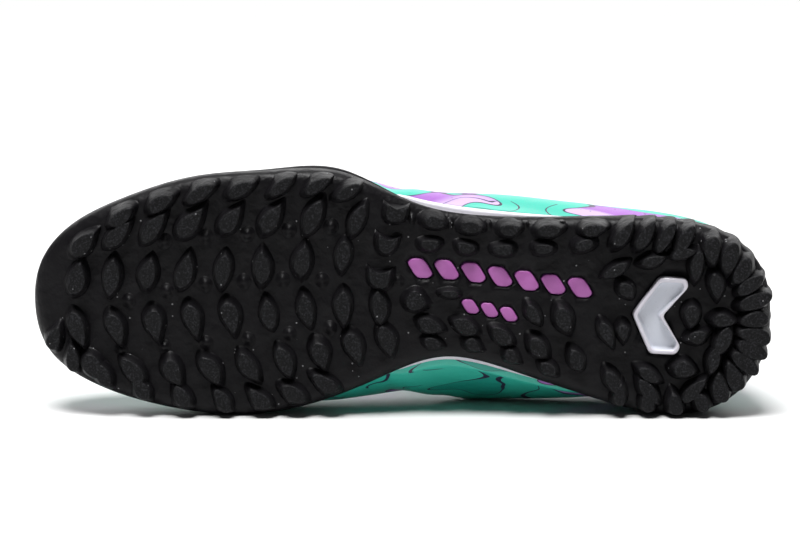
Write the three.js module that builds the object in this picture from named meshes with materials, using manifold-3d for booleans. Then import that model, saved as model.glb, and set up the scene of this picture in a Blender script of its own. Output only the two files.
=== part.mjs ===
// A low-cut turf shoe for the left foot: a studded rubber outsole, a foam midsole, a thin one-piece upper,
// a tongue, an insole and a flat lace. It lies on the side of its big toe, as it does on a floor.
// Millimetres. Each piece is made in the shoe's own frame, and the whole shoe is laid down at the end:
// x runs from the back of the heel to the toe, y to the little-toe side, z up from the ground under the studs.
import * as THREE from 'three';
import { mergeVertices } from 'three/addons/utils/BufferGeometryUtils.js';
import { ConvexHull } from 'three/addons/math/ConvexHull.js';
import Module from 'manifold-3d';

const wasm = await Module();
wasm.setup();

// Driving sizes: the outsole
const soleLength = 285;
const ballWidth = 98;
const waistWidth = 54;
const heelWidth = 77;
const plateThickness = 3;
const rimHeight = 22;
const rimThickness = 2;
const edgeRounding = 5;
const heelStudHeight = 6;
const waistStudHeight = 3.6;
const ballStudHeight = 5;
const toeSpring = 11;
const archRise = 3.5;
const heelBevel = 3.5;
const studLength = 13;
const studWidth = 7;
const studFlare = 1.2;

// Driving sizes: the midsole and the insole
const heelFoam = 9;
const toeFoam = 4.5;
const insoleThickness = 3.5;
const insoleCup = 3;

// Driving sizes: the upper
const upperWall = 1.7;
const collarPad = 2.4;
const eyestayStep = 0.7;
const waistBulge = 30;
const collarWidth = 59;
const throatWidth = 22;
const heelTabHeight = 76;
const instepHeight = 84;

// Driving sizes: the tongue and the lace
const tongueThickness = 3;
const tongueCrown = 2.2;
const tongueStandsOut = 20;
const tongueReach = 15;
const laceWidth = 6;
const laceThickness = 1.3;
const laceLift = 1.6;
const eyeletInset = 8;
const eyeletDiameter = 4;
const eyeletReach = 12;

// Driving sizes: what is let into the sole
const windowSpan = 29.5;
const windowDepth = 20;
const windowArm = 11.5;
const windowCorner = 3;
const windowRim = 1.6;
const windowSlant = 0.08;
const inlayBlock = 7.4;
const inlayDepth = 1.2;

// The gap between pieces that touch
const gap = 0.3;

// How many facets go round the shoe
const around = 68;

// Names the columns of a short table
const rows = (columns, table) =>
  table.map((values) => Object.fromEntries(columns.map((column, i) => [column, values[i]])));

// The outline of the sole, seen from above, from the heel's back round by the little toe. Along is a share
// of the length, across a share of the width named next to it, rim the height of the rubber's edge as a
// share of the rim, tuck how far inside the outline the upper's lower edge stands, in rims' thicknesses.
const outlineStations = rows(
  ['along', 'across', 'of', 'rim', 'tuck'],
  [
    [0.0, 0.0, heelWidth, 1.05, 1.6],
    [0.016, 0.26, heelWidth, 1.02, 1.6],
    [0.077, 0.442, heelWidth, 0.9, 1.5],
    [0.175, 0.492, heelWidth, 0.78, 1.3],
    [0.288, 0.68, waistWidth, 0.62, 0.4],
    [0.393, 0.665, waistWidth, 0.52, -0.6],
    [0.491, 0.406, ballWidth, 0.52, -0.4],
    [0.589, 0.508, ballWidth, 0.66, 1.5],
    [0.688, 0.504, ballWidth, 0.7, 1.6],
    [0.786, 0.468, ballWidth, 0.68, 1.6],
    [0.877, 0.373, ballWidth, 0.84, 1.6],
    [0.951, 0.25, ballWidth, 1.02, 1.7],
    [0.993, 0.087, ballWidth, 1.16, 1.7],
    [0.998, -0.102, ballWidth, 1.17, 1.7],
    [0.972, -0.272, ballWidth, 1.09, 1.7],
    [0.905, -0.384, ballWidth, 0.91, 1.6],
    [0.814, -0.447, ballWidth, 0.72, 1.6],
    [0.712, -0.466, ballWidth, 0.68, 1.6],
    [0.618, -0.412, ballWidth, 0.64, 1.5],
    [0.526, -0.54, waistWidth, 0.58, -0.8],
    [0.439, -0.363, waistWidth, 0.5, -1.9],
    [0.344, -0.448, waistWidth, 0.54, -1.6],
    [0.246, -0.42, heelWidth, 0.66, -0.2],
    [0.147, -0.494, heelWidth, 0.8, 1.2],
    [0.06, -0.428, heelWidth, 0.92, 1.5],
    [0.011, -0.222, heelWidth, 1.02, 1.6],
  ],
);

// The upper over the same stations. Its wall leaves the lower edge outwards by bulge, a share of the waist's
// bulge, and up by rise, and reaches the top edge from shoulder, a share of the ball's width outside it, and
// drop below it. Rise, drop and high are shares of the instep's height. Back is a share of the length and
// gape a share of the width named next to it.
const upperStations = rows(
  ['bulge', 'rise', 'shoulder', 'drop', 'back', 'gape', 'of', 'high'],
  [
    [0.2, 0.24, 0.025, 0.26, 0.036, 0.0, collarWidth, 0.905],
    [0.2, 0.24, 0.025, 0.26, 0.046, 0.25, collarWidth, 0.885],
    [0.16, 0.21, 0.05, 0.22, 0.092, 0.44, collarWidth, 0.8],
    [0.22, 0.18, 0.06, 0.2, 0.17, 0.5, collarWidth, 0.735],
    [0.36, 0.16, 0.07, 0.2, 0.253, 0.485, collarWidth, 0.73],
    [0.46, 0.15, 0.1, 0.22, 0.32, 0.395, collarWidth, 0.83],
    [0.28, 0.15, 0.17, 0.2, 0.365, 0.7, throatWidth, 0.97],
    [0.12, 0.17, 0.22, 0.16, 0.428, 0.56, throatWidth, 0.92],
    [0.16, 0.19, 0.25, 0.13, 0.505, 0.5, throatWidth, 0.83],
    [0.13, 0.2, 0.29, 0.11, 0.58, 0.46, throatWidth, 0.745],
    [0.12, 0.23, 0.35, 0.1, 0.633, 0.38, throatWidth, 0.685],
    [0.12, 0.25, 0.42, 0.08, 0.661, 0.22, throatWidth, 0.655],
    [0.12, 0.26, 0.46, 0.07, 0.671, 0.04, throatWidth, 0.645],
    [0.12, 0.26, 0.46, 0.07, 0.67, -0.14, throatWidth, 0.645],
    [0.12, 0.25, 0.42, 0.08, 0.657, -0.31, throatWidth, 0.66],
    [0.13, 0.23, 0.35, 0.1, 0.627, -0.43, throatWidth, 0.69],
    [0.14, 0.2, 0.3, 0.12, 0.58, -0.48, throatWidth, 0.745],
    [0.18, 0.19, 0.26, 0.14, 0.52, -0.5, throatWidth, 0.815],
    [0.4, 0.16, 0.22, 0.17, 0.45, -0.54, throatWidth, 0.895],
    [0.76, 0.18, 0.215, 0.2, 0.376, -0.66, throatWidth, 0.965],
    [1.0, 0.22, 0.215, 0.2, 0.33, -0.36, collarWidth, 0.87],
    [0.76, 0.22, 0.09, 0.17, 0.267, -0.465, collarWidth, 0.755],
    [0.32, 0.18, 0.055, 0.19, 0.187, -0.49, collarWidth, 0.75],
    [0.14, 0.2, 0.045, 0.21, 0.107, -0.45, collarWidth, 0.795],
    [0.19, 0.23, 0.03, 0.24, 0.056, -0.31, collarWidth, 0.865],
    [0.2, 0.24, 0.025, 0.26, 0.038, -0.13, collarWidth, 0.9],
  ],
);
const stationCount = outlineStations.length;
const toeStation = 12.5;

// A smooth closed curve through evenly numbered values, read at any place between them
function loopThrough(values) {
  const n = values.length;
  const slopes = new Array(n).fill(0);
  for (let pass = 0; pass < 40; pass++) {
    for (let i = 0; i < n; i++) {
      const before = (i + n - 1) % n;
      const after = (i + 1) % n;
      slopes[i] = (3 * (values[after] - values[before]) - slopes[before] - slopes[after]) / 4;
    }
  }
  return (at) => {
    const place = ((at % n) + n) % n;
    const i = Math.floor(place) % n;
    const j = (i + 1) % n;
    const t = place - Math.floor(place);
    const s = 1 - t;
    const ends = values[i] * s * s * (1 + 2 * t) + values[j] * t * t * (1 + 2 * s);
    return ends + slopes[i] * t * s * s - slopes[j] * t * t * s;
  };
}

const column = (table, value) => loopThrough(table.map(value));
const edgeX = column(outlineStations, (row) => row.along * soleLength);
const edgeY = column(outlineStations, (row) => row.across * row.of);
const rimTop = column(outlineStations, (row) => row.rim * rimHeight);
const tuckIn = column(outlineStations, (row) => row.tuck * rimThickness);
const topX = column(upperStations, (row) => row.back * soleLength);
const topY = column(upperStations, (row) => row.gape * row.of);
const topZ = column(upperStations, (row) => row.high * instepHeight);
const bulgeOut = column(upperStations, (row) => row.bulge * waistBulge);
const riseUp = column(upperStations, (row) => row.rise * instepHeight);
const shoulderOut = column(upperStations, (row) => row.shoulder * ballWidth);
const dropDown = column(upperStations, (row) => row.drop * instepHeight);

const clamp = (value, low, high) => Math.min(high, Math.max(low, value));
const mix = (a, b, t) => a + (b - a) * t;
const ramp = (value, from, to) => {
  const t = clamp((value - from) / (to - from), 0, 1);
  return t * t * (3 - 2 * t);
};

// The unit vector that points out of a closed curve that runs round the shoe
function outwards(curveX, curveY, at) {
  const step = 0.02;
  const dx = curveX(at + step) - curveX(at - step);
  const dy = curveY(at + step) - curveY(at - step);
  return new THREE.Vector2(-dy, dx).normalize();
}

// A point in plan, a distance inside the sole's outline
function insideEdge(at, distance) {
  const out = outwards(edgeX, edgeY, at);
  return new THREE.Vector2(edgeX(at) - out.x * distance, edgeY(at) - out.y * distance);
}

// The surface that the studs' tips lie on: flat under heel and ball, up at the toe, the waist and the back
const bevelAt = (x) => heelBevel * clamp((0.07 - x / soleLength) / 0.07, 0, 1.1) ** 2;
function groundAt(x) {
  const share = x / soleLength;
  const spring = toeSpring * clamp((share - 0.75) / 0.25, 0, 1.02) ** 2;
  const arch = archRise * ramp(share, 0.28, 0.42) * (1 - ramp(share, 0.46, 0.6));
  return spring + arch + bevelAt(x);
}

function studHeightAt(x) {
  const share = x / soleLength;
  const rear = mix(heelStudHeight, waistStudHeight, ramp(share, 0.26, 0.38));
  return mix(rear, ballStudHeight, ramp(share, 0.46, 0.6));
}

const baseAt = (x) => groundAt(x) + studHeightAt(x);
const floorAt = (x) => baseAt(x) + plateThickness;
const foamAt = (x) => mix(heelFoam, toeFoam, ramp(x / soleLength, 0.2, 0.72));
const bedAt = (x) => floorAt(x) - bevelAt(x) + gap + foamAt(x);

// The line down the middle of the sole that its inner rings close on
function spinePoint(at) {
  const x = clamp((edgeX(at) + edgeX(2 * toeStation - at)) / 2, 0.12 * soleLength, 0.88 * soleLength);
  const middle = mix(0, 0.024 * ballWidth, x / soleLength);
  return new THREE.Vector2(x, middle);
}

const places = Array.from({ length: around }, (_, i) => (i / around) * stationCount + toeStation);

// One ring of points round the shoe, from a plan distance inside the outline and a height
const ring = (inset, height) =>
  places.map((at) => {
    const plan = insideEdge(at, typeof inset === 'function' ? inset(at) : inset);
    return new THREE.Vector3(plan.x, plan.y, height(plan.x, at));
  });

// The rings that close a ring's inside on the spine, from the ring inwards
function closingRings(edge, shares, height) {
  return shares.map((share) =>
    edge.map((point, i) => {
      const spine = spinePoint(places[i]);
      const x = mix(spine.x, point.x, share);
      return new THREE.Vector3(x, mix(spine.y, point.y, share), height(x, places[i]));
    }),
  );
}

// A closed mesh from rings of equally many points. It closes on itself when looped.
function skin(rings, looped = false) {
  const positions = [];
  const last = looped ? rings.length : rings.length - 1;
  for (let i = 0; i < last; i++) {
    const a = rings[i];
    const b = rings[(i + 1) % rings.length];
    for (let j = 0; j < a.length; j++) {
      const k = (j + 1) % a.length;
      positions.push(a[j], b[j], b[k], a[j], b[k], a[k]);
    }
  }
  return solidFrom(positions);
}

// Welds loose triangles, drops the ones that the weld has closed up, and turns their faces outwards
function solidFrom(corners) {
  const loose = new THREE.BufferGeometry().setFromPoints(corners);
  const welded = mergeVertices(loose, 1e-3);
  const index = [];
  const at = (i) => new THREE.Vector3().fromBufferAttribute(welded.attributes.position, i);
  let volume = 0;
  for (let i = 0; i < welded.index.count; i += 3) {
    const [a, b, c] = [0, 1, 2].map((n) => welded.index.getX(i + n));
    if (a === b || b === c || c === a) {
      continue;
    }
    index.push(a, b, c);
    volume += at(a).dot(at(b).clone().cross(at(c)));
  }
  if (volume < 0) {
    index.reverse();
  }
  welded.setIndex(index);
  return welded;
}

const toManifold = (geometry) =>
  new wasm.Manifold(
    new wasm.Mesh({
      numProp: 3,
      vertProperties: new Float32Array(geometry.attributes.position.array),
      triVerts: new Uint32Array(geometry.index.array),
    }),
  );

// A joined solid's mesh, its needless small facets melted together
const facetTolerance = 0.15;
function fromManifold(solid) {
  const mesh = solid.asOriginal().simplify(facetTolerance).getMesh();
  const geometry = new THREE.BufferGeometry();
  geometry.setAttribute('position', new THREE.BufferAttribute(new Float32Array(mesh.vertProperties), 3));
  geometry.setIndex(new THREE.BufferAttribute(new Uint32Array(mesh.triVerts), 1));
  return geometry;
}

// A prism between two flat or curved outlines with equally many corners
function frustum(outlines) {
  const positions = [];
  const count = outlines[0].length;
  for (let i = 0; i + 1 < outlines.length; i++) {
    for (let j = 0; j < count; j++) {
      const k = (j + 1) % count;
      const [a, b] = [outlines[i], outlines[i + 1]];
      positions.push(a[j], b[j], b[k], a[j], b[k], a[k]);
    }
  }
  const cap = (outline, turned) => {
    const flat = outline.map((point) => new THREE.Vector2(point.x, point.y));
    for (const [a, b, c] of THREE.ShapeUtils.triangulateShape(flat, [])) {
      const corners = [outline[a], outline[b], outline[c]];
      positions.push(...(turned ? corners.reverse() : corners));
    }
  };
  cap(outlines[0], false);
  cap(outlines[outlines.length - 1], true);
  return solidFrom(positions);
}

// The studs. Rows along the sole run from one share of its length by another to a third, and lie at shares of its
// local width, from the big toe's edge to the little toe's. Rings follow the outline from one station by another
// to a third, inside it by shares of the edge's rounding. Long and wide are shares of the stud's length and width,
// climb is a share of the rim's height. Turn is from the shoe's length, in degrees, and changes evenly from the
// first stud to the last. Lone studs have a place each.
const studRows = rows(
  ['from', 'by', 'to', 'count', 'start', 'middle', 'end', 'long', 'wide', 'turnFrom', 'turnTo', 'bite'],
  [
    [0.932, 0.774, 0.565, 8, 0.84, 0.8, 0.82, 1.1, 0.95, -50, -66, 0],
    [0.939, 0.774, 0.582, 8, 0.635, 0.577, 0.646, 1.05, 0.98, -80, -86, 0],
    [0.936, 0.725, 0.53, 9, 0.31, 0.48, 0.395, 1.04, 1, 66, 84, 0],
    [0.912, 0.69, 0.518, 9, 0.11, 0.26, 0.21, 1, 1, 48, 72, 0],
    [0.514, 0.526, 0.53, 3, 0.925, 0.748, 0.563, 0.72, 1.4, 4, 4, 0.5],
    [0.467, 0.372, 0.26, 5, 0.772, 0.775, 0.859, 0.74, 0.9, 6, -14, 0.2],
    [0.461, 0.366, 0.263, 5, 0.239, 0.222, 0.206, 0.78, 0.95, 14, 60, 0],
    [0.456, 0.375, 0.299, 4, 0.115, 0.115, 0.105, 0.55, 0.7, 14, 40, 0],
  ],
);
const studRings = rows(
  ['from', 'by', 'to', 'count', 'inset', 'insetTo', 'long', 'wide', 'turnFrom', 'turnTo', 'climb'],
  [
    [10.15, 8.22, 6.85, 7, 1.15, 1.05, 0.92, 0.76, -10, -42, 0.23],
    [5.68, 4.7, 3.66, 5, 0.9, 0.8, 0.72, 0.72, 0, -10, 0.18],
    [13.7, 16.4, 18.3, 9, 1.05, 1.5, 0.86, 0.85, 44, 52, 0.23],
    [3.3, 2.9, 2.5, 4, 1.15, 1.15, 1.02, 0.72, -60, -68, 0.36],
    [2.05, 0.1, -1.9, 11, 1.38, 1.38, 1.02, 0.96, 62, 114, 0.41],
    [-2.35, -3, -3.6, 4, 1.1, 1.05, 0.74, 0.76, 70, 80, 0.3],
  ],
);
const studsAlone = rows(
  ['along', 'across', 'long', 'wide', 'turn', 'bite'],
  [
    [0.481, 0.408, 0.64, 1.08, 10, 0],
    [0.437, 0.452, 0.7, 0.6, 4, 0.2],
    [0.324, 0.415, 0.72, 0.8, 62, 0],
    [0.282, 0.414, 0.8, 0.98, 66, 0],
    [0.111, 0.53, 0.62, 0.85, 90, 0],
    [0.068, 0.519, 0.72, 0.74, 0, 0],
    [0.08, 0.71, 0.9, 0.8, 82, 0],
    [0.108, 0.79, 0.85, 0.75, 98, 0],
    [0.066, 0.409, 0.94, 0.8, -65, 0],
    [0.1, 0.427, 0.6, 0.7, -20, 0],
    [0.118, 0.253, 0.74, 1, 10, 0],
    [0.078, 0.294, 0.86, 0.75, -75, 0],
    [0.164, 0.208, 0.8, 0.68, 32, 0],
    [0.202, 0.409, 0.55, 0.6, 80, 0],
    [0.224, 0.385, 0.8, 0.75, 60, 0],
    [0.201, 0.631, 0.5, 0.8, 60, 0],
    [0.215, 0.733, 0.8, 0.62, -30, 0],
    [0.167, 0.795, 0.8, 0.6, -25, 0],
    [0.126, 0.85, 0.7, 0.62, -12, 0],
    [0.102, 0.14, 0.95, 0.75, -50, 0],
    [0.163, 0.125, 1, 0.78, 55, 0],
    [0.212, 0.135, 0.92, 0.72, 62, 0],
  ],
);
const studSides = 8;

// An oval of corners round a place in plan, with one side bitten in where bite is above 0
function ovalCorners(centre, long, wide, turn, bite, height) {
  const angle = THREE.MathUtils.degToRad(turn);
  return Array.from({ length: studSides }, (_, i) => {
    const a = (2 * Math.PI * (i + 0.5)) / studSides;
    const along = (Math.cos(a) * long) / 2;
    const dent = bite * Math.max(0, Math.sin(a)) * Math.cos(a) ** 2 * -2 + (bite ? 1 - bite * 0.3 : 1);
    const aside = ((Math.sin(a) * wide) / 2) * dent;
    const x = centre.x + along * Math.cos(angle) - aside * Math.sin(angle);
    const y = centre.y + along * Math.sin(angle) + aside * Math.cos(angle);
    return new THREE.Vector3(x, y, height(x));
  });
}

// One stud: a flat tip on the ground surface, sides that flare towards the plate, and a root in the rubber
function stud(centre, long, wide, turn, bite, climb, lean, room = rimHeight) {
  const slope = (groundAt(centre.x + 1) - groundAt(centre.x - 1)) / 2;
  const tip = (x) => groundAt(centre.x) + slope * (x - centre.x);
  const root = Math.min(plateThickness * 0.6 + climb, room);
  const rootCentre = new THREE.Vector2(centre.x - lean.x, centre.y - lean.y);
  return frustum([
    ovalCorners(centre, long, wide, turn, bite, tip),
    ovalCorners(rootCentre, long + studFlare, wide + studFlare, turn, bite, (x) => baseAt(x) + root),
  ]);
}

// The two stations where a line across the shoe at x meets the outline
function sidesAt(x) {
  const find = (low, high) => {
    for (let i = 0; i < 30; i++) {
      const middle = (low + high) / 2;
      const inFront = edgeX(middle) > x;
      [low, high] = inFront ? [low, middle] : [middle, high];
    }
    return (low + high) / 2;
  };
  return { little: find(0, toeStation), big: find(stationCount, toeStation) };
}

// A place in plan at a share of the length and a share of the local width from the big toe's side
function placeOnSole(along, across) {
  const x = along * soleLength;
  const { little, big } = sidesAt(x);
  return new THREE.Vector2(x, mix(edgeY(big), edgeY(little), across));
}

const through = (a, b, c, t) => mix(mix(a, b, t), mix(b, c, t), t);

function studSolids() {
  const still = new THREE.Vector2(0, 0);
  const solids = studsAlone.map(({ along, across, long, wide, turn, bite }) =>
    stud(placeOnSole(along, across), long * studLength, wide * studWidth, turn, bite, 0, still),
  );
  for (const row of studRows) {
    for (let i = 0; i < row.count; i++) {
      const t = i / (row.count - 1);
      const across = through(row.start, row.middle, row.end, t);
      const centre = placeOnSole(through(row.from, row.by, row.to, t), across);
      const turn = mix(row.turnFrom, row.turnTo, t);
      solids.push(stud(centre, row.long * studLength, row.wide * studWidth, turn, row.bite, 0, still));
    }
  }
  for (const row of studRings) {
    for (let i = 0; i < row.count; i++) {
      const t = i / (row.count - 1);
      const at = through(row.from, row.by, row.to, t);
      const out = outwards(edgeX, edgeY, at);
      const centre = insideEdge(at, mix(row.inset, row.insetTo, t) * edgeRounding);
      const tangent = THREE.MathUtils.radToDeg(Math.atan2(-out.x, out.y));
      const turn = tangent + mix(row.turnFrom, row.turnTo, t);
      const climb = row.climb * rimHeight;
      const lean = out.clone().multiplyScalar(climb > rimThickness * 2 ? studFlare * 0.7 : studFlare * 0.3);
      const room = Math.min(...[-1, 0, 1].map((step) => rimTop(at + step / 2))) - baseAt(centre.x) - rimThickness;
      solids.push(stud(centre, row.long * studLength, row.wide * studWidth, turn, 0, climb, lean, room));
    }
  }
  return solids;
}

// The heel window's arrow, its tip towards the toe, grown or shrunk by a margin
function windowCorners(margin, height) {
  const tip = placeOnSole(0.19, 0.505);
  const half = windowSpan / 2 + margin;
  const sweep = windowDepth - windowArm;
  const back = tip.x - windowDepth;
  const corner = windowCorner;
  const corners = [
    [tip.x + margin, 0],
    [tip.x - sweep + margin * 0.4, half],
    [back + corner / 2 - margin * 0.4, half],
    [back - margin, half - corner],
    [tip.x - windowArm - margin, 0],
    [back - margin, corner - half],
    [back + corner / 2 - margin * 0.4, -half],
    [tip.x - sweep + margin * 0.4, -half],
  ];
  return corners.map(([x, y]) => new THREE.Vector3(x - y * windowSlant, tip.y + y, height(x)));
}

// The plain blocks of coloured rubber let into the waist, in a row and three in a short row beside it
const inlayRows = rows(
  ['from', 'to', 'count', 'start', 'end', 'size'],
  [
    [0.478, 0.262, 7, 0.61, 0.605, 1],
    [0.408, 0.356, 3, 0.37, 0.37, 0.72],
  ],
);

function inlayCorners(row, i, margin, height) {
  const t = i / (row.count - 1);
  const centre = placeOnSole(mix(row.from, row.to, t), mix(row.start, row.end, t));
  const half = (inlayBlock * row.size) / 2 + margin;
  const slant = half * 0.35;
  const cut = half * 0.45;
  const corners = [
    [half + slant, half - cut],
    [half + slant - cut, half],
    [cut + slant - half, half],
    [slant - half, half - cut],
    [-half - slant, cut - half],
    [cut - half - slant, -half],
    [half - slant - cut, -half],
    [half - slant, cut - half],
  ];
  return corners.map(([x, y]) => new THREE.Vector3(centre.x + x, centre.y + y, height(centre.x + x)));
}

const inlayBlocks = (margin, low, high) =>
  inlayRows.flatMap((row) =>
    Array.from({ length: row.count }, (_, i) =>
      frustum([inlayCorners(row, i, margin, low), inlayCorners(row, i, margin, high)]),
    ),
  );

// The plate that carries the inlay's blocks, inside the sole's plate and bent along it
const plateSteps = 12;
function inlayPlate(margin, low, high) {
  const [row, short] = inlayRows;
  const loops = Array.from({ length: plateSteps + 1 }, (_, i) => {
    const t = i / plateSteps;
    const along = mix(row.from, row.to, t);
    const reach = inlayBlock * 0.8 + margin;
    const end = i === 0 ? reach : i === plateSteps ? -reach : 0;
    const x = along * soleLength + end;
    const middle = placeOnSole(along, mix(row.start, row.end, t)).y;
    const beside = placeOnSole(along, short.start).y - reach * 0.7;
    const wide = ramp(along, short.to - 0.04, short.to - 0.02) * (1 - ramp(along, short.from + 0.02, short.from + 0.04));
    const lowY = mix(middle - reach, Math.min(beside, middle - reach), wide);
    return [
      new THREE.Vector3(x, lowY, low(x)),
      new THREE.Vector3(x, middle + reach, low(x)),
      new THREE.Vector3(x, middle + reach, high(x)),
      new THREE.Vector3(x, lowY, high(x)),
    ];
  });
  return closedStack(loops);
}

// The hollow that the midsole sits in, open at the rim
const hollowInset = rimThickness + gap * 0.5;
function soleHollow() {
  const floor = ring(hollowInset, (x) => floorAt(x));
  const top = ring(hollowInset, (x, at) => Math.max(rimTop(at), bedAt(x)) + heelTabHeight);
  return skin([
    ...closingRings(floor, [0, 0.5], floorAt),
    floor,
    top,
    ...closingRings(top, [0], (x) => floorAt(x) + heelTabHeight),
  ]);
}

// The rubber outsole: a cup with a rounded lower edge and the studs joined on
function outsole() {
  const low = ring(edgeRounding, baseAt);
  const bend = ring(edgeRounding * 0.28, (x) => baseAt(x) + edgeRounding * 0.36);
  const side = ring(0, (x, at) => Math.min(baseAt(x) + edgeRounding, rimTop(at) - 1));
  const lip = ring(0.4, (x, at) => rimTop(at));
  const inLip = ring(hollowInset + 1, (x, at) => rimTop(at));
  const outside = skin([
    ...closingRings(low, [0, 0.5, 0.8], baseAt),
    low,
    bend,
    side,
    lip,
    inLip,
    ...closingRings(inLip, [0], bedAt),
  ]);
  let solid = toManifold(outside);
  for (const one of studSolids()) {
    solid = solid.add(toManifold(one));
  }
  solid = solid.subtract(toManifold(soleHollow()));
  const under = (x) => baseAt(x) - heelStudHeight * 2;
  const over = (x) => floorAt(x) + 1;
  solid = solid.subtract(
    toManifold(frustum([windowCorners(gap + windowRim, under), windowCorners(gap + windowRim, over)])),
  );
  solid = solid.subtract(toManifold(inlayPlate(gap, (x) => baseAt(x) + inlayDepth, over)));
  for (const block of inlayBlocks(gap, under, over)) {
    solid = solid.subtract(toManifold(block));
  }
  return fromManifold(solid);
}

// The heel window: a clear-grey arrow with a raised rim, its foot widened under the midsole
function heelWindow() {
  const face = (x) => baseAt(x) - heelStudHeight * 0.62;
  const dish = (x) => baseAt(x) - 0.4;
  const back = (x) => floorAt(x) - gap;
  const inside = (x) => face(x) - windowRim;
  let solid = toManifold(frustum([windowCorners(0, face), windowCorners(windowRim, back)]));
  solid = solid.subtract(
    toManifold(frustum([windowCorners(-windowRim, inside), windowCorners(-windowRim * 1.5, dish)])),
  );
  return fromManifold(solid);
}

// The coloured inlay: its plate and the blocks that show through the sole, as one solid
function inlay() {
  const plateLow = (x) => baseAt(x) + inlayDepth + gap;
  const plateHigh = (x) => floorAt(x) - gap;
  let solid = toManifold(inlayPlate(0, plateLow, plateHigh));
  for (const block of inlayBlocks(0, (x) => baseAt(x) - 0.5, (x) => plateLow(x) + 0.4)) {
    solid = solid.add(toManifold(block));
  }
  return fromManifold(solid);
}

// How far the foam has come over the rim: 0 where the rim stands round it, 1 where it is clear of the rim
const flareAt = (at) => ramp(bedAt(edgeX(at)) - rimTop(at), gap * 6, gap * 15);

// The foam midsole: it fills the cup, and flares over the rim to the upper's edge at the waist
function midsole() {
  const inCup = rimThickness + gap * 1.5;
  const bottom = ring(inCup, (x) => floorAt(x) + gap);
  const brimHeight = (x, at) => Math.min(rimTop(at) + gap * 2, bedAt(x) - gap);
  const brim = ring(inCup, brimHeight);
  const flare = (at) => mix(inCup, Math.min(tuckIn(at), inCup), flareAt(at));
  const shelf = ring(flare, brimHeight);
  const top = ring(flare, bedAt);
  return skin([
    ...closingRings(bottom, [0, 0.5], (x) => floorAt(x) + gap),
    bottom,
    brim,
    shelf,
    top,
    ...closingRings(top, [0.5, 0], bedAt),
  ]);
}

// How far inside the outline the upper stands: inside the rim, or on the foam where that is clear of the rim
const footInset = (at) => mix(Math.max(tuckIn(at), rimThickness + gap * 2), tuckIn(at), flareAt(at));

// The lower and upper edges of the upper and the two points that shape its wall between them
function wallFrame(at) {
  const foot = insideEdge(at, footInset(at));
  const out = outwards(edgeX, edgeY, at);
  const lean = outwards(topX, topY, at);
  const lower = new THREE.Vector3(foot.x, foot.y, bedAt(foot.x) + gap);
  const upper = new THREE.Vector3(topX(at), topY(at), topZ(at));
  const swell = new THREE.Vector3(out.x * bulgeOut(at), out.y * bulgeOut(at), riseUp(at)).add(lower);
  const shoulder = shoulderOut(at);
  const bend = new THREE.Vector3(lean.x * shoulder, lean.y * shoulder, -dropDown(at)).add(upper);
  return new THREE.CubicBezierCurve3(lower, swell, bend, upper);
}

const wallPoint = (at, up) => wallFrame(at).getPoint(up);

// The outward unit vector of the upper's outer face
function wallNormal(at, up) {
  const step = 0.01;
  const low = clamp(up - step, 0, 1);
  const high = clamp(up + step, 0, 1);
  const rise = wallPoint(at, high).sub(wallPoint(at, low));
  const run = wallPoint(at + 0.05, up).sub(wallPoint(at - 0.05, up));
  return rise.cross(run).normalize();
}

// The wall is thicker round the padded collar, and steps up at the stay that carries the eyelets
const backOf = (at) => Math.abs(((((at - toeStation) % stationCount) + stationCount) % stationCount) - 13) / 13;
const wallAt = (at, up) => {
  const collar = 1 - ramp(backOf(at), 0.34, 0.45);
  return upperWall + collarPad * collar * ramp(up, 0.55, 0.8) * (1 - 0.6 * ramp(up, 0.9, 1));
};
const outsideStep = (at, up) => {
  const stay = ramp(backOf(at), 0.47, 0.53);
  return eyestayStep * stay * ramp(up, 0.8, 0.84);
};

const outerFace = (at, up) => wallPoint(at, up).addScaledVector(wallNormal(at, up), outsideStep(at, up));
const innerFace = (at, up) => wallPoint(at, up).addScaledVector(wallNormal(at, up), -wallAt(at, up));

const upperLevels = [0, 0.12, 0.26, 0.42, 0.58, 0.7, 0.8, 0.85, 0.93, 1];

// Eyelets lie at these steps back from the throat's front end, in stations
const eyeletSteps = [1.9, 3.0, 4.1, 5.2, 6.2];
const eyeletStations = (step) => [toeStation - step, toeStation + step];

// The share of the way up the wall that lies a distance below its top edge
function upBelowTop(at, distance) {
  let up = 1;
  let walked = 0;
  let last = wallPoint(at, up);
  while (walked < distance && up > 0.5) {
    up -= 0.005;
    const next = wallPoint(at, up);
    walked += next.distanceTo(last);
    last = next;
  }
  return up;
}

function upper() {
  const outer = upperLevels.map((up) => places.map((at) => outerFace(at, up)));
  const inner = upperLevels.map((up) => places.map((at) => innerFace(at, up)));
  let solid = toManifold(skin([...outer, ...inner.reverse()], true));
  for (const at of eyeletSteps.flatMap(eyeletStations)) {
    const up = upBelowTop(at, eyeletInset);
    const drill = new THREE.CylinderGeometry(eyeletDiameter / 2, eyeletDiameter / 2, eyeletReach, 8);
    drill.deleteAttribute('normal');
    drill.deleteAttribute('uv');
    const turn = new THREE.Quaternion().setFromUnitVectors(new THREE.Vector3(0, 1, 0), wallNormal(at, up));
    drill.applyQuaternion(turn);
    const place = wallPoint(at, up);
    drill.translate(place.x, place.y, place.z);
    solid = solid.subtract(toManifold(mergeVertices(drill, 1e-4)));
  }
  return fromManifold(solid);
}

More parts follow.
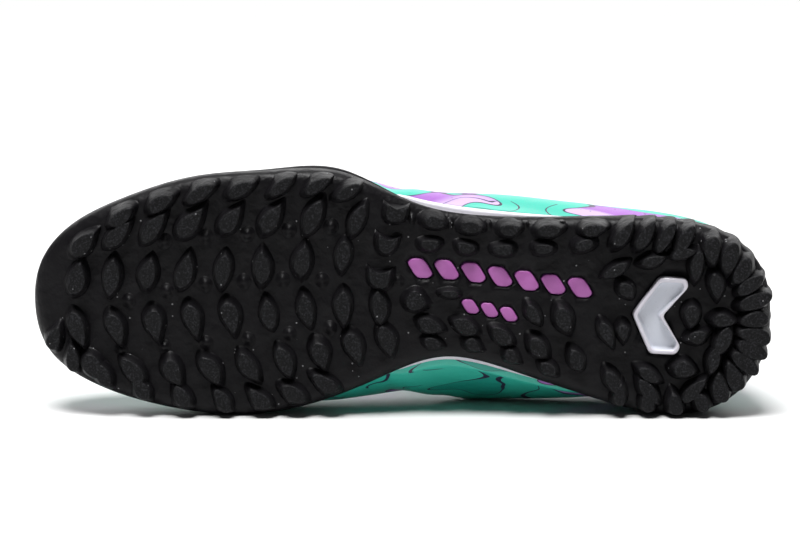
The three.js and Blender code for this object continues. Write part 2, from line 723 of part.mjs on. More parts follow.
// The insole: a thin foam bed inside the upper, with a raised edge round the heel
function insole() {
  const inset = (at) => footInset(at) + upperWall + gap * 5;
  const cup = (x) => insoleCup * (1 - ramp(x / soleLength, 0.15, 0.5));
  const bottom = ring(inset, (x) => bedAt(x) + gap);
  const edge = ring(inset, (x) => bedAt(x) + gap + insoleThickness + cup(x));
  const step = ring((at) => inset(at) + insoleThickness, (x) => bedAt(x) + gap + insoleThickness + cup(x) * 0.3);
  const top = (x) => bedAt(x) + gap + insoleThickness;
  return skin([
    ...closingRings(bottom, [0, 0.5], (x) => bedAt(x) + gap),
    bottom,
    edge,
    step,
    ...closingRings(step, [0.6, 0], top),
  ]);
}

// The tongue's top face: it follows the upper's inside under the eyelets and arches over the throat
const tongueSteps = Array.from({ length: 12 }, (_, i) => 0.9 + i * 0.5);
function tongueRow(step) {
  const side = (at) =>
    [tongueReach, tongueReach / 2, 0].map((distance) => {
      const up = upBelowTop(at, distance);
      const depth = wallAt(at, up) + gap * 2.7 + tongueThickness * ramp(step, 4.6, 6.2);
      return wallPoint(at, up).addScaledVector(wallNormal(at, up), -depth);
    });
  const [little, big] = eyeletStations(step).map(side);
  const middle = [0.25, 0.5, 0.75].map((t) => {
    const point = little[2].clone().lerp(big[2], t);
    point.z += tongueCrown * 4 * t * (1 - t) * ramp(step, 0, 4);
    return point;
  });
  return [...little, ...middle, ...big.reverse()];
}

function tongue() {
  const top = tongueSteps.map(tongueRow);
  const last = top[top.length - 1];
  const before = top[top.length - 2];
  const run = last[4].clone().sub(before[4]).normalize();
  const middle = last[4].clone();
  for (const [share, narrow, raise] of [[0.4, 0.92, 0.1], [0.8, 0.84, 0.34], [1, 0.7, 0.5]]) {
    top.push(
      last.map((point) => {
        const moved = point.clone();
        moved.y = mix(middle.y, point.y, narrow);
        moved.z = mix(point.z, middle.z, share * 0.35);
        moved.addScaledVector(run, tongueStandsOut * share);
        moved.z += raise * tongueStandsOut * 0.4;
        return moved;
      }),
    );
  }
  const width = top[0].length;
  const bottom = top.map((row, i) =>
    row.map((point, j) => {
      const [next, past] = [top[Math.min(i + 1, top.length - 1)][j], top[Math.max(i - 1, 0)][j]];
      const [left, right] = [row[Math.max(j - 1, 0)], row[Math.min(j + 1, width - 1)]];
      const normal = right.clone().sub(left).cross(next.clone().sub(past)).normalize();
      const sign = normal.z > 0 ? -1 : 1;
      return point.clone().addScaledVector(normal, sign * tongueThickness);
    }),
  );
  const loops = top.map((row, i) => [...row, ...bottom[i].slice().reverse()]);
  return closedStack(loops);
}

// A closed mesh from loops of equally many points, with a strip over each end
function closedStack(loops) {
  const positions = [];
  const count = loops[0].length;
  for (let i = 0; i + 1 < loops.length; i++) {
    for (let j = 0; j < count; j++) {
      const k = (j + 1) % count;
      positions.push(loops[i][j], loops[i + 1][j], loops[i + 1][k]);
      positions.push(loops[i][j], loops[i + 1][k], loops[i][k]);
    }
  }
  for (const [loop, turned] of [[loops[0], false], [loops[loops.length - 1], true]]) {
    for (let j = 0; j + 1 < count / 2; j++) {
      const corners = [loop[j], loop[j + 1], loop[count - 2 - j], loop[count - 1 - j]];
      const [a, b, c, d] = turned ? corners.reverse() : corners;
      positions.push(a, b, c, a, c, d);
    }
  }
  return solidFrom(positions);
}

// The lace: a flat band that crosses the throat from eyelet to eyelet, all its crossings joined. A band
// lies on the stay up to the throat's edge, and then spans the throat over the tongue.
const laceStops = rows(
  ['across', 'side', 'below'],
  [
    [0, -1, 1],
    [0.11, -1, 0.5],
    [0.22, -1, 0],
    [0.5, 0, 0],
    [0.78, 1, 0],
    [0.89, 1, 0.5],
    [1, 1, 1],
  ],
);

function laceBand(from, to, hand) {
  const onStay = ({ across, side, below }) => {
    const at = toeStation + side * hand * mix(from, to, across);
    const up = upBelowTop(at, eyeletInset * below);
    const normal = wallNormal(at, up);
    const lift = outsideStep(at, up) + laceThickness / 2 + gap * 3;
    return { point: wallPoint(at, up).addScaledVector(normal, lift), normal };
  };
  const stops = laceStops.map((stop) => (stop.side === 0 ? null : onStay(stop)));
  const upwards = stops[2].normal.clone().add(stops[4].normal).normalize();
  const middle = stops[2].point.clone().lerp(stops[4].point, 0.5).addScaledVector(upwards, laceLift);
  stops[3] = { point: middle, normal: upwards };
  const loops = stops.map(({ point, normal }, i) => {
    const next = stops[Math.min(i + 1, stops.length - 1)].point;
    const past = stops[Math.max(i - 1, 0)].point;
    const along = next.clone().sub(past).normalize();
    const side = along.clone().cross(normal).normalize().multiplyScalar(laceWidth / 2);
    const thick = side.clone().cross(along).normalize().multiplyScalar(laceThickness / 2);
    return [
      point.clone().add(side).add(thick),
      point.clone().sub(side).add(thick),
      point.clone().sub(side).sub(thick),
      point.clone().add(side).sub(thick),
    ];
  });
  return closedStack(loops);
}

function lace() {
  const [first] = eyeletSteps;
  let solid = toManifold(laceBand(first, first, 1));
  for (let i = 0; i + 1 < eyeletSteps.length; i++) {
    const [low, high] = [eyeletSteps[i], eyeletSteps[i + 1]];
    solid = solid.add(toManifold(laceBand(low, high, 1)));
    solid = solid.add(toManifold(laceBand(low, high, -1)));
  }
  return fromManifold(solid);
}

// Colours, and densities in grams per cubic centimetre for the shoe's balance
const finishes = {
  rubber: { color: 0x151416, roughness: 0.62, metalness: 0, density: 1.15 },
  foam: { color: 0xe9e8ee, roughness: 0.7, metalness: 0, density: 0.25 },
  clearGrey: { color: 0xc3c6d1, roughness: 0.35, metalness: 0.1, density: 1.1 },
  fuchsia: { color: 0xb65fc0, roughness: 0.5, metalness: 0, density: 1.15 },
  skin: { color: 0x3fc9b4, roughness: 0.55, metalness: 0, density: 0.9 },
  knit: { color: 0x35b8a6, roughness: 0.85, metalness: 0, density: 0.5 },
  bed: { color: 0x232226, roughness: 0.9, metalness: 0, density: 0.3 },
  cord: { color: 0xdff5f0, roughness: 0.8, metalness: 0, density: 1 },
};

const shoe = new THREE.Group();

function addPiece(name, geometry, finish) {
  const { density, ...look } = finishes[finish];
  const mesh = new THREE.Mesh(geometry, new THREE.MeshStandardMaterial(look));
  mesh.name = name;
  mesh.userData.density = density;
  shoe.add(mesh);
}

addPiece('outsole', outsole(), 'rubber');
addPiece('heel_window', heelWindow(), 'clearGrey');
addPiece('waist_inlay', inlay(), 'fuchsia');
addPiece('midsole', midsole(), 'foam');
addPiece('upper', upper(), 'skin');
addPiece('tongue', tongue(), 'knit');
addPiece('insole', insole(), 'bed');
addPiece('lace', lace(), 'cord');

// The shoe's balance point, from each piece's volume and density
function balancePoint() {
  const total = new THREE.Vector3();
  let weight = 0;
  for (const mesh of shoe.children) {
    const { position } = mesh.geometry.attributes;
    const { index } = mesh.geometry;
    const corner = (i) => new THREE.Vector3().fromBufferAttribute(position, index.getX(i));
    for (let i = 0; i < index.count; i += 3) {
      const [a, b, c] = [corner(i), corner(i + 1), corner(i + 2)];
      const part = (a.dot(b.clone().cross(c)) / 6) * mesh.userData.density;
      weight += part;
      total.add(a.add(b).add(c).multiplyScalar(part / 4));
    }
  }
  return total.divideScalar(weight);
}

// The flat that the shoe rests on when it is laid on its big-toe side: of the faces of the skin stretched
// round it, the one that faces most to that side and has the balance point over it
function restingNormal() {
  const points = shoe.children.flatMap((mesh) => {
    const { position } = mesh.geometry.attributes;
    return Array.from({ length: position.count }, (_, i) =>
      new THREE.Vector3().fromBufferAttribute(position, i),
    );
  });
  const centre = balancePoint();
  const hull = new ConvexHull().setFromPoints(points);
  const steady = hull.faces.filter((face) => {
    const corners = [0, 1, 2].map((i) => face.getEdge(i).head().point);
    return corners.every((corner, i) => {
      const next = corners[(i + 1) % 3];
      const third = corners[(i + 2) % 3];
      const inwards = next.clone().sub(corner).cross(face.normal);
      const inside = Math.sign(inwards.dot(third.clone().sub(corner)));
      return inside * inwards.dot(centre.clone().sub(corner)) >= 0;
    });
  });
  steady.sort((a, b) => a.normal.y - b.normal.y);
  return steady[0].normal.clone();
}

// Lays the shoe down: its resting flat on the floor, its sole to the front and its toe to the left
function layDown() {
  const up = restingNormal().negate();
  const toeward = new THREE.Vector3(1, 0, 0);
  const right = toeward.addScaledVector(up, -toeward.dot(up)).normalize().negate();
  const away = up.clone().cross(right);
  const turn = new THREE.Matrix4().makeBasis(right, away, up).transpose();
  shoe.quaternion.setFromRotationMatrix(turn);
  shoe.updateMatrixWorld(true);
  const box = new THREE.Box3().setFromObject(shoe, true);
  const centre = box.getCenter(new THREE.Vector3());
  shoe.position.set(-centre.x, -centre.y, -box.min.z);
}

layDown();

export default shoe;
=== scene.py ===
# Looks of a studded turf shoe that lies on its side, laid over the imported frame.
# Shoe sizes are in millimetres: x from the heel to the toe, y to the little toe, z up from the studs' tips.
import math

import bmesh
import bpy
import numpy as np
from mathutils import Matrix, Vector


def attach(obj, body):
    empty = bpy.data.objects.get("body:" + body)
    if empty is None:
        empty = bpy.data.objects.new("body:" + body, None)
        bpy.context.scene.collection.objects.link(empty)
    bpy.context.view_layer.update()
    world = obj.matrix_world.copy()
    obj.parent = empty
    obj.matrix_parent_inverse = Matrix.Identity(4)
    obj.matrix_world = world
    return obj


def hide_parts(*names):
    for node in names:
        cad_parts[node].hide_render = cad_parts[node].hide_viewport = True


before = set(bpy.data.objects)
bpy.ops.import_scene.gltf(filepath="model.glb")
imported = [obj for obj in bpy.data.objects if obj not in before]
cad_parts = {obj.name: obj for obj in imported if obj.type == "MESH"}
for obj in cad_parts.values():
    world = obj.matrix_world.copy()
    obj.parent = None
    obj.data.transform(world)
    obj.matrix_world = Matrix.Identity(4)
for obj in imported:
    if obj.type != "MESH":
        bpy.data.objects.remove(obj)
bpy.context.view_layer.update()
scene = bpy.context.scene
print("frame loaded")


# tables and curves

def columnsOf(names, rows):
    return {name: np.array([row[i] for row in rows], float) for i, name in enumerate(names.split())}


def loopThrough(values):  # a smooth closed curve through evenly numbered values
    values = np.asarray(values, float)
    count = len(values)
    slopes = np.zeros(count)
    for _ in range(40):
        for i in range(count):
            ahead = (i + 1) % count
            slopes[i] = (3 * (values[ahead] - values[i - 1]) - slopes[i - 1] - slopes[ahead]) / 4

    def read(at):
        place = np.mod(at, count)
        low = np.floor(place).astype(int) % count
        high = (low + 1) % count
        t = place - np.floor(place)
        s = 1 - t
        ends = values[low] * s * s * (1 + 2 * t) + values[high] * t * t * (1 + 2 * s)
        return ends + slopes[low] * t * s * s - slopes[high] * t * t * s
    return read


def easeBetween(value, low, high):
    t = np.clip((np.asarray(value, float) - low) / (high - low), 0, 1)
    return t * t * (3 - 2 * t)


def blendOf(a, b, t):
    return a + (b - a) * t


def unit(vectors):
    return vectors / np.maximum(np.linalg.norm(vectors, axis=-1, keepdims=True), 1e-9)


# the shoe's own sizes and the sections that its surfaces pass through

sole = {
    "length": 285, "ball": 98, "waist": 54, "heel": 77, "plate": 3, "rim": 22, "rimWall": 2, "rounding": 5,
    "heelStud": 6, "waistStud": 3.6, "ballStud": 5, "toeSpring": 11, "arch": 3.5, "bevel": 3.5,
    "bevelEnd": 0.07, "heelFoam": 9, "toeFoam": 4.5, "insole": 3.5, "insoleCup": 3, "gap": 0.3}
lastSizes = {
    "wall": 1.7, "collarPad": 2.4, "stayStep": 0.7, "bulge": 30, "collar": 59, "throat": 22, "instep": 84}
stations = 26
toeStation = 12.5

heel, waist, ball = sole["heel"], sole["waist"], sole["ball"]
collar, throat = lastSizes["collar"], lastSizes["throat"]
outline = columnsOf("along across width rim tuck", [
    (0.0, 0.0, heel, 1.05, 1.6),
    (0.016, 0.26, heel, 1.02, 1.6),
    (0.077, 0.442, heel, 0.9, 1.5),
    (0.175, 0.492, heel, 0.78, 1.3),
    (0.288, 0.68, waist, 0.62, 0.4),
    (0.393, 0.665, waist, 0.52, -0.6),
    (0.491, 0.406, ball, 0.52, -0.4),
    (0.589, 0.508, ball, 0.66, 1.5),
    (0.688, 0.504, ball, 0.7, 1.6),
    (0.786, 0.468, ball, 0.68, 1.6),
    (0.877, 0.373, ball, 0.84, 1.6),
    (0.951, 0.25, ball, 1.02, 1.7),
    (0.993, 0.087, ball, 1.16, 1.7),
    (0.998, -0.102, ball, 1.17, 1.7),
    (0.972, -0.272, ball, 1.09, 1.7),
    (0.905, -0.384, ball, 0.91, 1.6),
    (0.814, -0.447, ball, 0.72, 1.6),
    (0.712, -0.466, ball, 0.68, 1.6),
    (0.618, -0.412, ball, 0.64, 1.5),
    (0.526, -0.54, waist, 0.58, -0.8),
    (0.439, -0.363, waist, 0.5, -1.9),
    (0.344, -0.448, waist, 0.54, -1.6),
    (0.246, -0.42, heel, 0.66, -0.2),
    (0.147, -0.494, heel, 0.8, 1.2),
    (0.06, -0.428, heel, 0.92, 1.5),
    (0.011, -0.222, heel, 1.02, 1.6),
])
wall = columnsOf("bulge rise shoulder drop back gape width high", [
    (0.2, 0.24, 0.025, 0.26, 0.036, 0.0, collar, 0.905),
    (0.2, 0.24, 0.025, 0.26, 0.046, 0.25, collar, 0.885),
    (0.16, 0.21, 0.05, 0.22, 0.092, 0.44, collar, 0.8),
    (0.22, 0.18, 0.06, 0.2, 0.17, 0.5, collar, 0.735),
    (0.36, 0.16, 0.07, 0.2, 0.253, 0.485, collar, 0.73),
    (0.46, 0.15, 0.1, 0.22, 0.32, 0.395, collar, 0.83),
    (0.28, 0.15, 0.17, 0.2, 0.365, 0.7, throat, 0.97),
    (0.12, 0.17, 0.22, 0.16, 0.428, 0.56, throat, 0.92),
    (0.16, 0.19, 0.25, 0.13, 0.505, 0.5, throat, 0.83),
    (0.13, 0.2, 0.29, 0.11, 0.58, 0.46, throat, 0.745),
    (0.12, 0.23, 0.35, 0.1, 0.633, 0.38, throat, 0.685),
    (0.12, 0.25, 0.42, 0.08, 0.661, 0.22, throat, 0.655),
    (0.12, 0.26, 0.46, 0.07, 0.671, 0.04, throat, 0.645),
    (0.12, 0.26, 0.46, 0.07, 0.67, -0.14, throat, 0.645),
    (0.12, 0.25, 0.42, 0.08, 0.657, -0.31, throat, 0.66),
    (0.13, 0.23, 0.35, 0.1, 0.627, -0.43, throat, 0.69),
    (0.14, 0.2, 0.3, 0.12, 0.58, -0.48, throat, 0.745),
    (0.18, 0.19, 0.26, 0.14, 0.52, -0.5, throat, 0.815),
    (0.4, 0.16, 0.22, 0.17, 0.45, -0.54, throat, 0.895),
    (0.76, 0.18, 0.215, 0.2, 0.376, -0.66, throat, 0.965),
    (1.0, 0.22, 0.215, 0.2, 0.33, -0.36, collar, 0.87),
    (0.76, 0.22, 0.09, 0.17, 0.267, -0.465, collar, 0.755),
    (0.32, 0.18, 0.055, 0.19, 0.187, -0.49, collar, 0.75),
    (0.14, 0.2, 0.045, 0.21, 0.107, -0.45, collar, 0.795),
    (0.19, 0.23, 0.03, 0.24, 0.056, -0.31, collar, 0.865),
    (0.2, 0.24, 0.025, 0.26, 0.038, -0.13, collar, 0.9),
])
edgeX = loopThrough(outline["along"] * sole["length"])
edgeY = loopThrough(outline["across"] * outline["width"])
rimTop = loopThrough(outline["rim"] * sole["rim"])
tuckIn = loopThrough(outline["tuck"] * sole["rimWall"])
topX = loopThrough(wall["back"] * sole["length"])
topY = loopThrough(wall["gape"] * wall["width"])
topZ = loopThrough(wall["high"] * lastSizes["instep"])
bulgeOut = loopThrough(wall["bulge"] * lastSizes["bulge"])
riseUp = loopThrough(wall["rise"] * lastSizes["instep"])
shoulderOut = loopThrough(wall["shoulder"] * sole["ball"])
dropDown = loopThrough(wall["drop"] * lastSizes["instep"])


def outwardsOf(curveX, curveY, at):
    reach = 0.02
    dx = curveX(at + reach) - curveX(at - reach)
    dy = curveY(at + reach) - curveY(at - reach)
    return unit(np.stack([-dy, dx], -1))


def insideEdge(at, inset):
    out = outwardsOf(edgeX, edgeY, at)
    return np.stack([edgeX(at), edgeY(at)], -1) - out * np.asarray(inset)[..., None]


def bevelAt(x):
    end = sole["bevelEnd"]
    return sole["bevel"] * np.clip((end - x / sole["length"]) / end, 0, 1.1) ** 2


def groundAt(x):  # where the studs' tips lie
    share = x / sole["length"]
    spring = sole["toeSpring"] * np.clip((share - 0.75) / 0.25, 0, 1.02) ** 2
    arch = sole["arch"] * easeBetween(share, 0.28, 0.42) * (1 - easeBetween(share, 0.46, 0.6))
    return spring + arch + bevelAt(x)


def baseAt(x):  # the plate between the studs
    share = x / sole["length"]
    rear = blendOf(sole["heelStud"], sole["waistStud"], easeBetween(share, 0.26, 0.38))
    return groundAt(x) + blendOf(rear, sole["ballStud"], easeBetween(share, 0.46, 0.6))


def floorAt(x):
    return baseAt(x) + sole["plate"]


def bedAt(x):
    foam = blendOf(sole["heelFoam"], sole["toeFoam"], easeBetween(x / sole["length"], 0.2, 0.72))
    return floorAt(x) - bevelAt(x) + sole["gap"] + foam


def flareAt(at):  # 1 where the foam has come over the rim
    return easeBetween(bedAt(edgeX(at)) - rimTop(at), sole["gap"] * 6, sole["gap"] * 15)


def footInset(at):
    closed = np.maximum(tuckIn(at), sole["rimWall"] + sole["gap"] * 2)
    return blendOf(closed, tuckIn(at), flareAt(at))


def wallPoint(at, up):
    at, up = np.broadcast_arrays(np.asarray(at, float), np.asarray(up, float))
    foot = insideEdge(at, footInset(at))
    out = outwardsOf(edgeX, edgeY, at)
    lean = outwardsOf(topX, topY, at)
    lower = np.stack([foot[..., 0], foot[..., 1], bedAt(foot[..., 0]) + sole["gap"]], -1)
    upper = np.stack([topX(at), topY(at), topZ(at)], -1)
    swell = lower + np.concatenate([out * bulgeOut(at)[..., None], riseUp(at)[..., None]], -1)
    bend = upper + np.concatenate([lean * shoulderOut(at)[..., None], -dropDown(at)[..., None]], -1)
    t = up[..., None]
    s = 1 - t
    return lower * s ** 3 + 3 * swell * s * s * t + 3 * bend * s * t * t + upper * t ** 3


def wallNormal(at, up):
    at, up = np.broadcast_arrays(np.asarray(at, float), np.asarray(up, float))
    low, high = np.clip(up - 0.01, 0, 1), np.clip(up + 0.01, 0, 1)
    rise = wallPoint(at, high) - wallPoint(at, low)
    run = wallPoint(at + 0.05, up) - wallPoint(at - 0.05, up)
    return unit(np.cross(rise, run))


def frontness(at):  # 1 at the toe, 0 at the heel
    return np.abs(np.mod(at - toeStation, stations) - 13) / 13


def wallThickness(at, up):
    pad = (1 - easeBetween(frontness(at), 0.34, 0.45)) * easeBetween(up, 0.55, 0.8)
    return lastSizes["wall"] + lastSizes["collarPad"] * pad * (1 - 0.6 * easeBetween(up, 0.9, 1))


def stayRaise(at, up):
    return lastSizes["stayStep"] * easeBetween(frontness(at), 0.47, 0.53) * easeBetween(up, 0.8, 0.84)


def walkedAlong(points):  # the distance gone at each point of a line
    steps = np.linalg.norm(np.diff(points, axis=0), axis=1)
    return np.concatenate([[0], np.cumsum(steps)])


def upBelowTop(at, distance):  # how far up the wall a place lies that is a distance below its top edge
    ups = np.linspace(1, 0.4, 121)
    walked = walkedAlong(wallPoint(np.full(ups.shape, float(at)), ups))
    return float(np.interp(distance, walked, ups))


# Soft folds: station, share up the wall, spread round and up, depth. A negative depth is a ridge.
foldsByHand = columnsOf("at up round high depth", [
    (9.3, 0.62, 1.1, 0.035, 0.55),
    (9.6, 0.5, 1.2, 0.04, -0.4),
    (10.0, 0.4, 1.0, 0.035, 0.5),
    (15.4, 0.64, 1.2, 0.035, 0.5),
    (15.9, 0.5, 1.0, 0.04, -0.35),
    (16.2, 0.42, 1.0, 0.035, 0.45),
    (4.6, 0.55, 0.5, 0.12, 0.7),
    (5.6, 0.45, 0.35, 0.16, -0.6),
    (20.4, 0.6, 0.45, 0.13, 0.7),
    (21.4, 0.5, 0.4, 0.16, -0.5),
    (2.6, 0.7, 0.5, 0.1, 0.6),
    (23.4, 0.7, 0.5, 0.1, 0.6),
])


def foldsAt(at, up):
    total = np.zeros(np.broadcast(at, up).shape)
    for place, high, wide, tall, depth in zip(*foldsByHand.values()):
        aside = (np.mod(at - place + 13, stations) - 13) / wide
        lean = (up - high - 0.04 * np.sin(aside * 2.2)) / tall
        total -= depth * np.exp(-aside ** 2 - lean ** 2)
    return total * easeBetween(up, 0.0, 0.12) * (1 - easeBetween(up, 0.9, 1))


# laying the shoe down, and making meshes

rest = {"floorNormal": (-0.04521, -0.99885, 0.01568), "heelPlace": (142.435, -43.549, 36.551)}


def layDown(points):
    up = -unit(np.array(rest["floorNormal"]))
    toeward = np.array([1.0, 0, 0])
    right = -unit(toeward - up * toeward.dot(up))
    away = np.cross(up, right)
    turn = np.stack([right, away, up])
    return (np.asarray(points, float).reshape(-1, 3) @ turn.T + np.array(rest["heelPlace"])) / 1000


def stackFaces(ringCount, perRing, wrap=False):
    rows = np.arange(ringCount if wrap else ringCount - 1)[:, None]
    steps = np.arange(perRing)[None, :]
    after = (rows + 1) % ringCount
    beside = (steps + 1) % perRing
    corners = [rows * perRing + steps, after * perRing + steps,
               after * perRing + beside, rows * perRing + beside]
    return np.stack(np.broadcast_arrays(*corners), -1).reshape(-1, 4).tolist()


def endFaces(ringCount, perRing):  # closes the first and the last ring of a stack
    last = (ringCount - 1) * perRing
    return [list(range(perRing))[::-1], list(range(last, last + perRing))]


def linked(name, data):
    made = bpy.data.objects.new(name, data)
    scene.collection.objects.link(made)
    return made


def meshObject(name, vertices, faces, materials, slots=None, uv=None, marks=None):
    mesh = bpy.data.meshes.new(name)
    places = layDown(vertices)
    places[:, 2] = np.maximum(places[:, 2], 0)  # pressed flat where it rests on the floor
    mesh.from_pydata(places.tolist(), [], faces)
    for material in materials:
        mesh.materials.append(material)
    if slots is not None:
        mesh.polygons.foreach_set("material_index", np.asarray(slots, np.int32))
    if uv is not None:
        corner = np.zeros(len(mesh.loops), np.int32)
        mesh.loops.foreach_get("vertex_index", corner)
        mesh.uv_layers.new(name="lengths").data.foreach_set("uv", np.asarray(uv, float)[corner].ravel())
    for mark, values in (marks or {}).items():
        mesh.attributes.new(mark, "FLOAT", "POINT").data.foreach_set("value", np.asarray(values, np.float32))
    piece = linked(name, mesh)
    tidyMesh(piece)
    return piece


def tidyMesh(piece):  # welds, turns faces outwards and smooths
    work = bmesh.new()
    work.from_mesh(piece.data)
    bmesh.ops.remove_doubles(work, verts=work.verts, dist=2e-6)
    bmesh.ops.dissolve_degenerate(work, edges=work.edges, dist=1e-7)
    bmesh.ops.recalc_face_normals(work, faces=work.faces)
    work.to_mesh(piece.data)
    work.free()
    piece.data.shade_smooth()


def evaluated(piece):  # freezes an object's modifiers into its mesh
    bpy.context.view_layer.update()
    graph = bpy.context.evaluated_depsgraph_get()
    mesh = bpy.data.meshes.new_from_object(piece.evaluated_get(graph))
    piece.modifiers.clear()
    piece.data = mesh
    return piece


def cutWith(piece, cutter):
    cut = piece.modifiers.new("cut", "BOOLEAN")
    cut.operation = "DIFFERENCE"
    cut.solver = "EXACT"
    cut.object = cutter
    evaluated(piece)
    bpy.data.objects.remove(cutter)


def joined(name, pieces):
    work = bmesh.new()
    materials = []
    for piece in pieces:
        for material in piece.data.materials:
            if material not in materials:
                materials.append(material)
    for piece in pieces:
        order = [materials.index(material) for material in piece.data.materials]
        first = len(work.faces)
        work.from_mesh(piece.data)
        work.faces.ensure_lookup_table()
        for face in work.faces[first:]:
            face.material_index = order[face.material_index] if order else 0
        bpy.data.objects.remove(piece)
    mesh = bpy.data.meshes.new(name)
    work.to_mesh(mesh)
    work.free()
    for material in materials:
        mesh.materials.append(material)
    mesh.shade_smooth()
    return linked(name, mesh)


# shader helpers

def node(tree, kind, inputs=None, **settings):
    made = tree.nodes.new(kind)
    for key, value in settings.items():
        setattr(made, key, value)
    for key, value in (inputs or {}).items():
        if isinstance(value, bpy.types.NodeSocket):
            tree.links.new(value, made.inputs[key])
        else:
            made.inputs[key].default_value = value
    return made


def calc(tree, operation, *values):
    return node(tree, "ShaderNodeMath", dict(enumerate(values)), operation=operation).outputs[0]


def times(tree, first, second):
    return calc(tree, "MULTIPLY", first, second)


def ramped(tree, value, low, high):
    made = node(tree, "ShaderNodeMapRange", {0: value, 1: low, 2: high}, interpolation_type="SMOOTHSTEP")
    return made.outputs[0]


def colorMix(tree, factor, first, second):  # plain colours are given as three numbers
    first, second = [(*end, 1) if isinstance(end, tuple) else end for end in (first, second)]
    return node(tree, "ShaderNodeMix", {0: factor, 6: first, 7: second}, data_type="RGBA").outputs[2]


def noise(tree, vector, scale, detail):
    return node(tree, "ShaderNodeTexNoise", {"Vector": vector, "Scale": scale, "Detail": detail})


socketKinds = {"value": "NodeSocketFloat", "vector": "NodeSocketVector", "color": "NodeSocketColor",
               "geometry": "NodeSocketGeometry"}


def groupOf(name, inputs, outputs, build, treeKind="ShaderNodeTree"):
    tree = bpy.data.node_groups.new(name, treeKind)
    for sockets, way in ((inputs, "INPUT"), (outputs, "OUTPUT")):
        for label, kind in sockets.items():
            tree.interface.new_socket(label, in_out=way, socket_type=socketKinds[kind])
    entry = tree.nodes.new("NodeGroupInput")
    leave = tree.nodes.new("NodeGroupOutput")
    for label, socket in build(tree, entry.outputs).items():
        tree.links.new(socket, leave.inputs[label])
    return tree


def placed(tree, group, **inputs):
    return node(tree, "ShaderNodeGroup", inputs, node_tree=group).outputs


def buildSpecks(tree, given):  # sparse round specks
    cells = node(tree, "ShaderNodeTexVoronoi", {"Vector": given["Vector"], "Scale": given["Scale"]})
    near = calc(tree, "LESS_THAN", cells.outputs["Distance"], given["Size"])
    pick = node(tree, "ShaderNodeSeparateColor", {0: cells.outputs["Color"]})
    chosen = calc(tree, "LESS_THAN", pick.outputs[0], given["Share"])
    return {"Mask": times(tree, near, chosen)}


def buildGrain(tree, given):  # two sizes of moulded grain
    wideScale = times(tree, given["Scale"], 0.12)
    return {"Fine": noise(tree, given["Vector"], given["Scale"], 4.0).outputs[0],
            "Wide": noise(tree, given["Vector"], wideScale, 3.0).outputs[0]}


def buildKnit(tree, given):  # rows of small interlocked loops
    parts = node(tree, "ShaderNodeSeparateXYZ", {0: given["Vector"]}).outputs
    along = times(tree, parts[0], given["Scale"])
    upward = times(tree, parts[1], given["Scale"])
    zigzag = calc(tree, "ABSOLUTE", calc(tree, "SUBTRACT", calc(tree, "FRACT", along), 0.5))
    rows = calc(tree, "FRACT", calc(tree, "ADD", upward, times(tree, zigzag, 1.2)))
    loop = calc(tree, "SINE", times(tree, rows, math.pi))
    rib = calc(tree, "SINE", times(tree, calc(tree, "FRACT", times(tree, along, 2.0)), math.pi))
    return {"Height": times(tree, loop, calc(tree, "MULTIPLY_ADD", rib, 0.5, 0.5))}


# Levels are of a noise that runs from about 0.3 to 0.7: where a tone starts, and how far its edge blends.
printLook = {
    "scale": 34.0, "detail": 1.3, "line": 0.0048, "moved": (0.24, 0.1, 0.4), "stretch": (0.42, 1.3, 1.5),
    "turn": (0.2, 0.06, 0.1), "bendScale": 26.0, "bend": 0.03,
    "secondMoved": (3.7, 1.9, 5.3), "secondStretch": (0.7, 1.6, 1.6),
    "patchEdge": (0.556, 0.561), "deepEdge": (0.4, 0.405), "breakEdge": (0.5, 0.52), "paleEdge": (0.44, 0.6),
    "patchLine": 0.5585, "deepLine": 0.4025, "groundLine": 0.487, "innerLine": 0.56,
    "dotScale": 520.0, "dotSize": 0.14, "dotSpread": 0.2, "dotShare": 0.16, "dotEdge": (0.575, 0.6),
    "dotInk": 0.85,
    "ground": (0.03, 0.46, 0.35), "deep": (0.012, 0.32, 0.25), "patch": (0.3, 0.1, 0.44),
    "pale": (0.52, 0.38, 0.66), "ink": (0.02, 0.01, 0.045)}


def vectorMath(tree, operation, first, key, second):
    inputs = {0: first, key: second}
    return node(tree, "ShaderNodeVectorMath", inputs, operation=operation).outputs[0]


def bentPlace(tree, vector):  # bends, moves and stretches the pattern's space
    bend = noise(tree, vector, printLook["bendScale"], 1.0).outputs["Color"]
    shift = vectorMath(tree, "SUBTRACT", bend, 1, (0.5, 0.5, 0.5))
    shift = vectorMath(tree, "SCALE", shift, "Scale", printLook["bend"])
    place = vectorMath(tree, "ADD", vector, 1, shift)
    return node(tree, "ShaderNodeMapping", {
        "Vector": place, "Scale": printLook["stretch"], "Rotation": printLook["turn"],
        "Location": printLook["moved"]}).outputs[0]


def inkDots(tree, vector, level):
    dots = node(tree, "ShaderNodeTexVoronoi", {"Vector": vector, "Scale": printLook["dotScale"]})
    pick = node(tree, "ShaderNodeSeparateColor", {0: dots.outputs["Color"]}).outputs
    reach = calc(tree, "MULTIPLY_ADD", pick[1], printLook["dotSpread"], printLook["dotSize"])
    dot = calc(tree, "LESS_THAN", dots.outputs["Distance"], reach)
    dot = times(tree, dot, calc(tree, "LESS_THAN", pick[0], printLook["dotShare"]))
    return times(tree, dot, ramped(tree, level, *printLook["dotEdge"]))


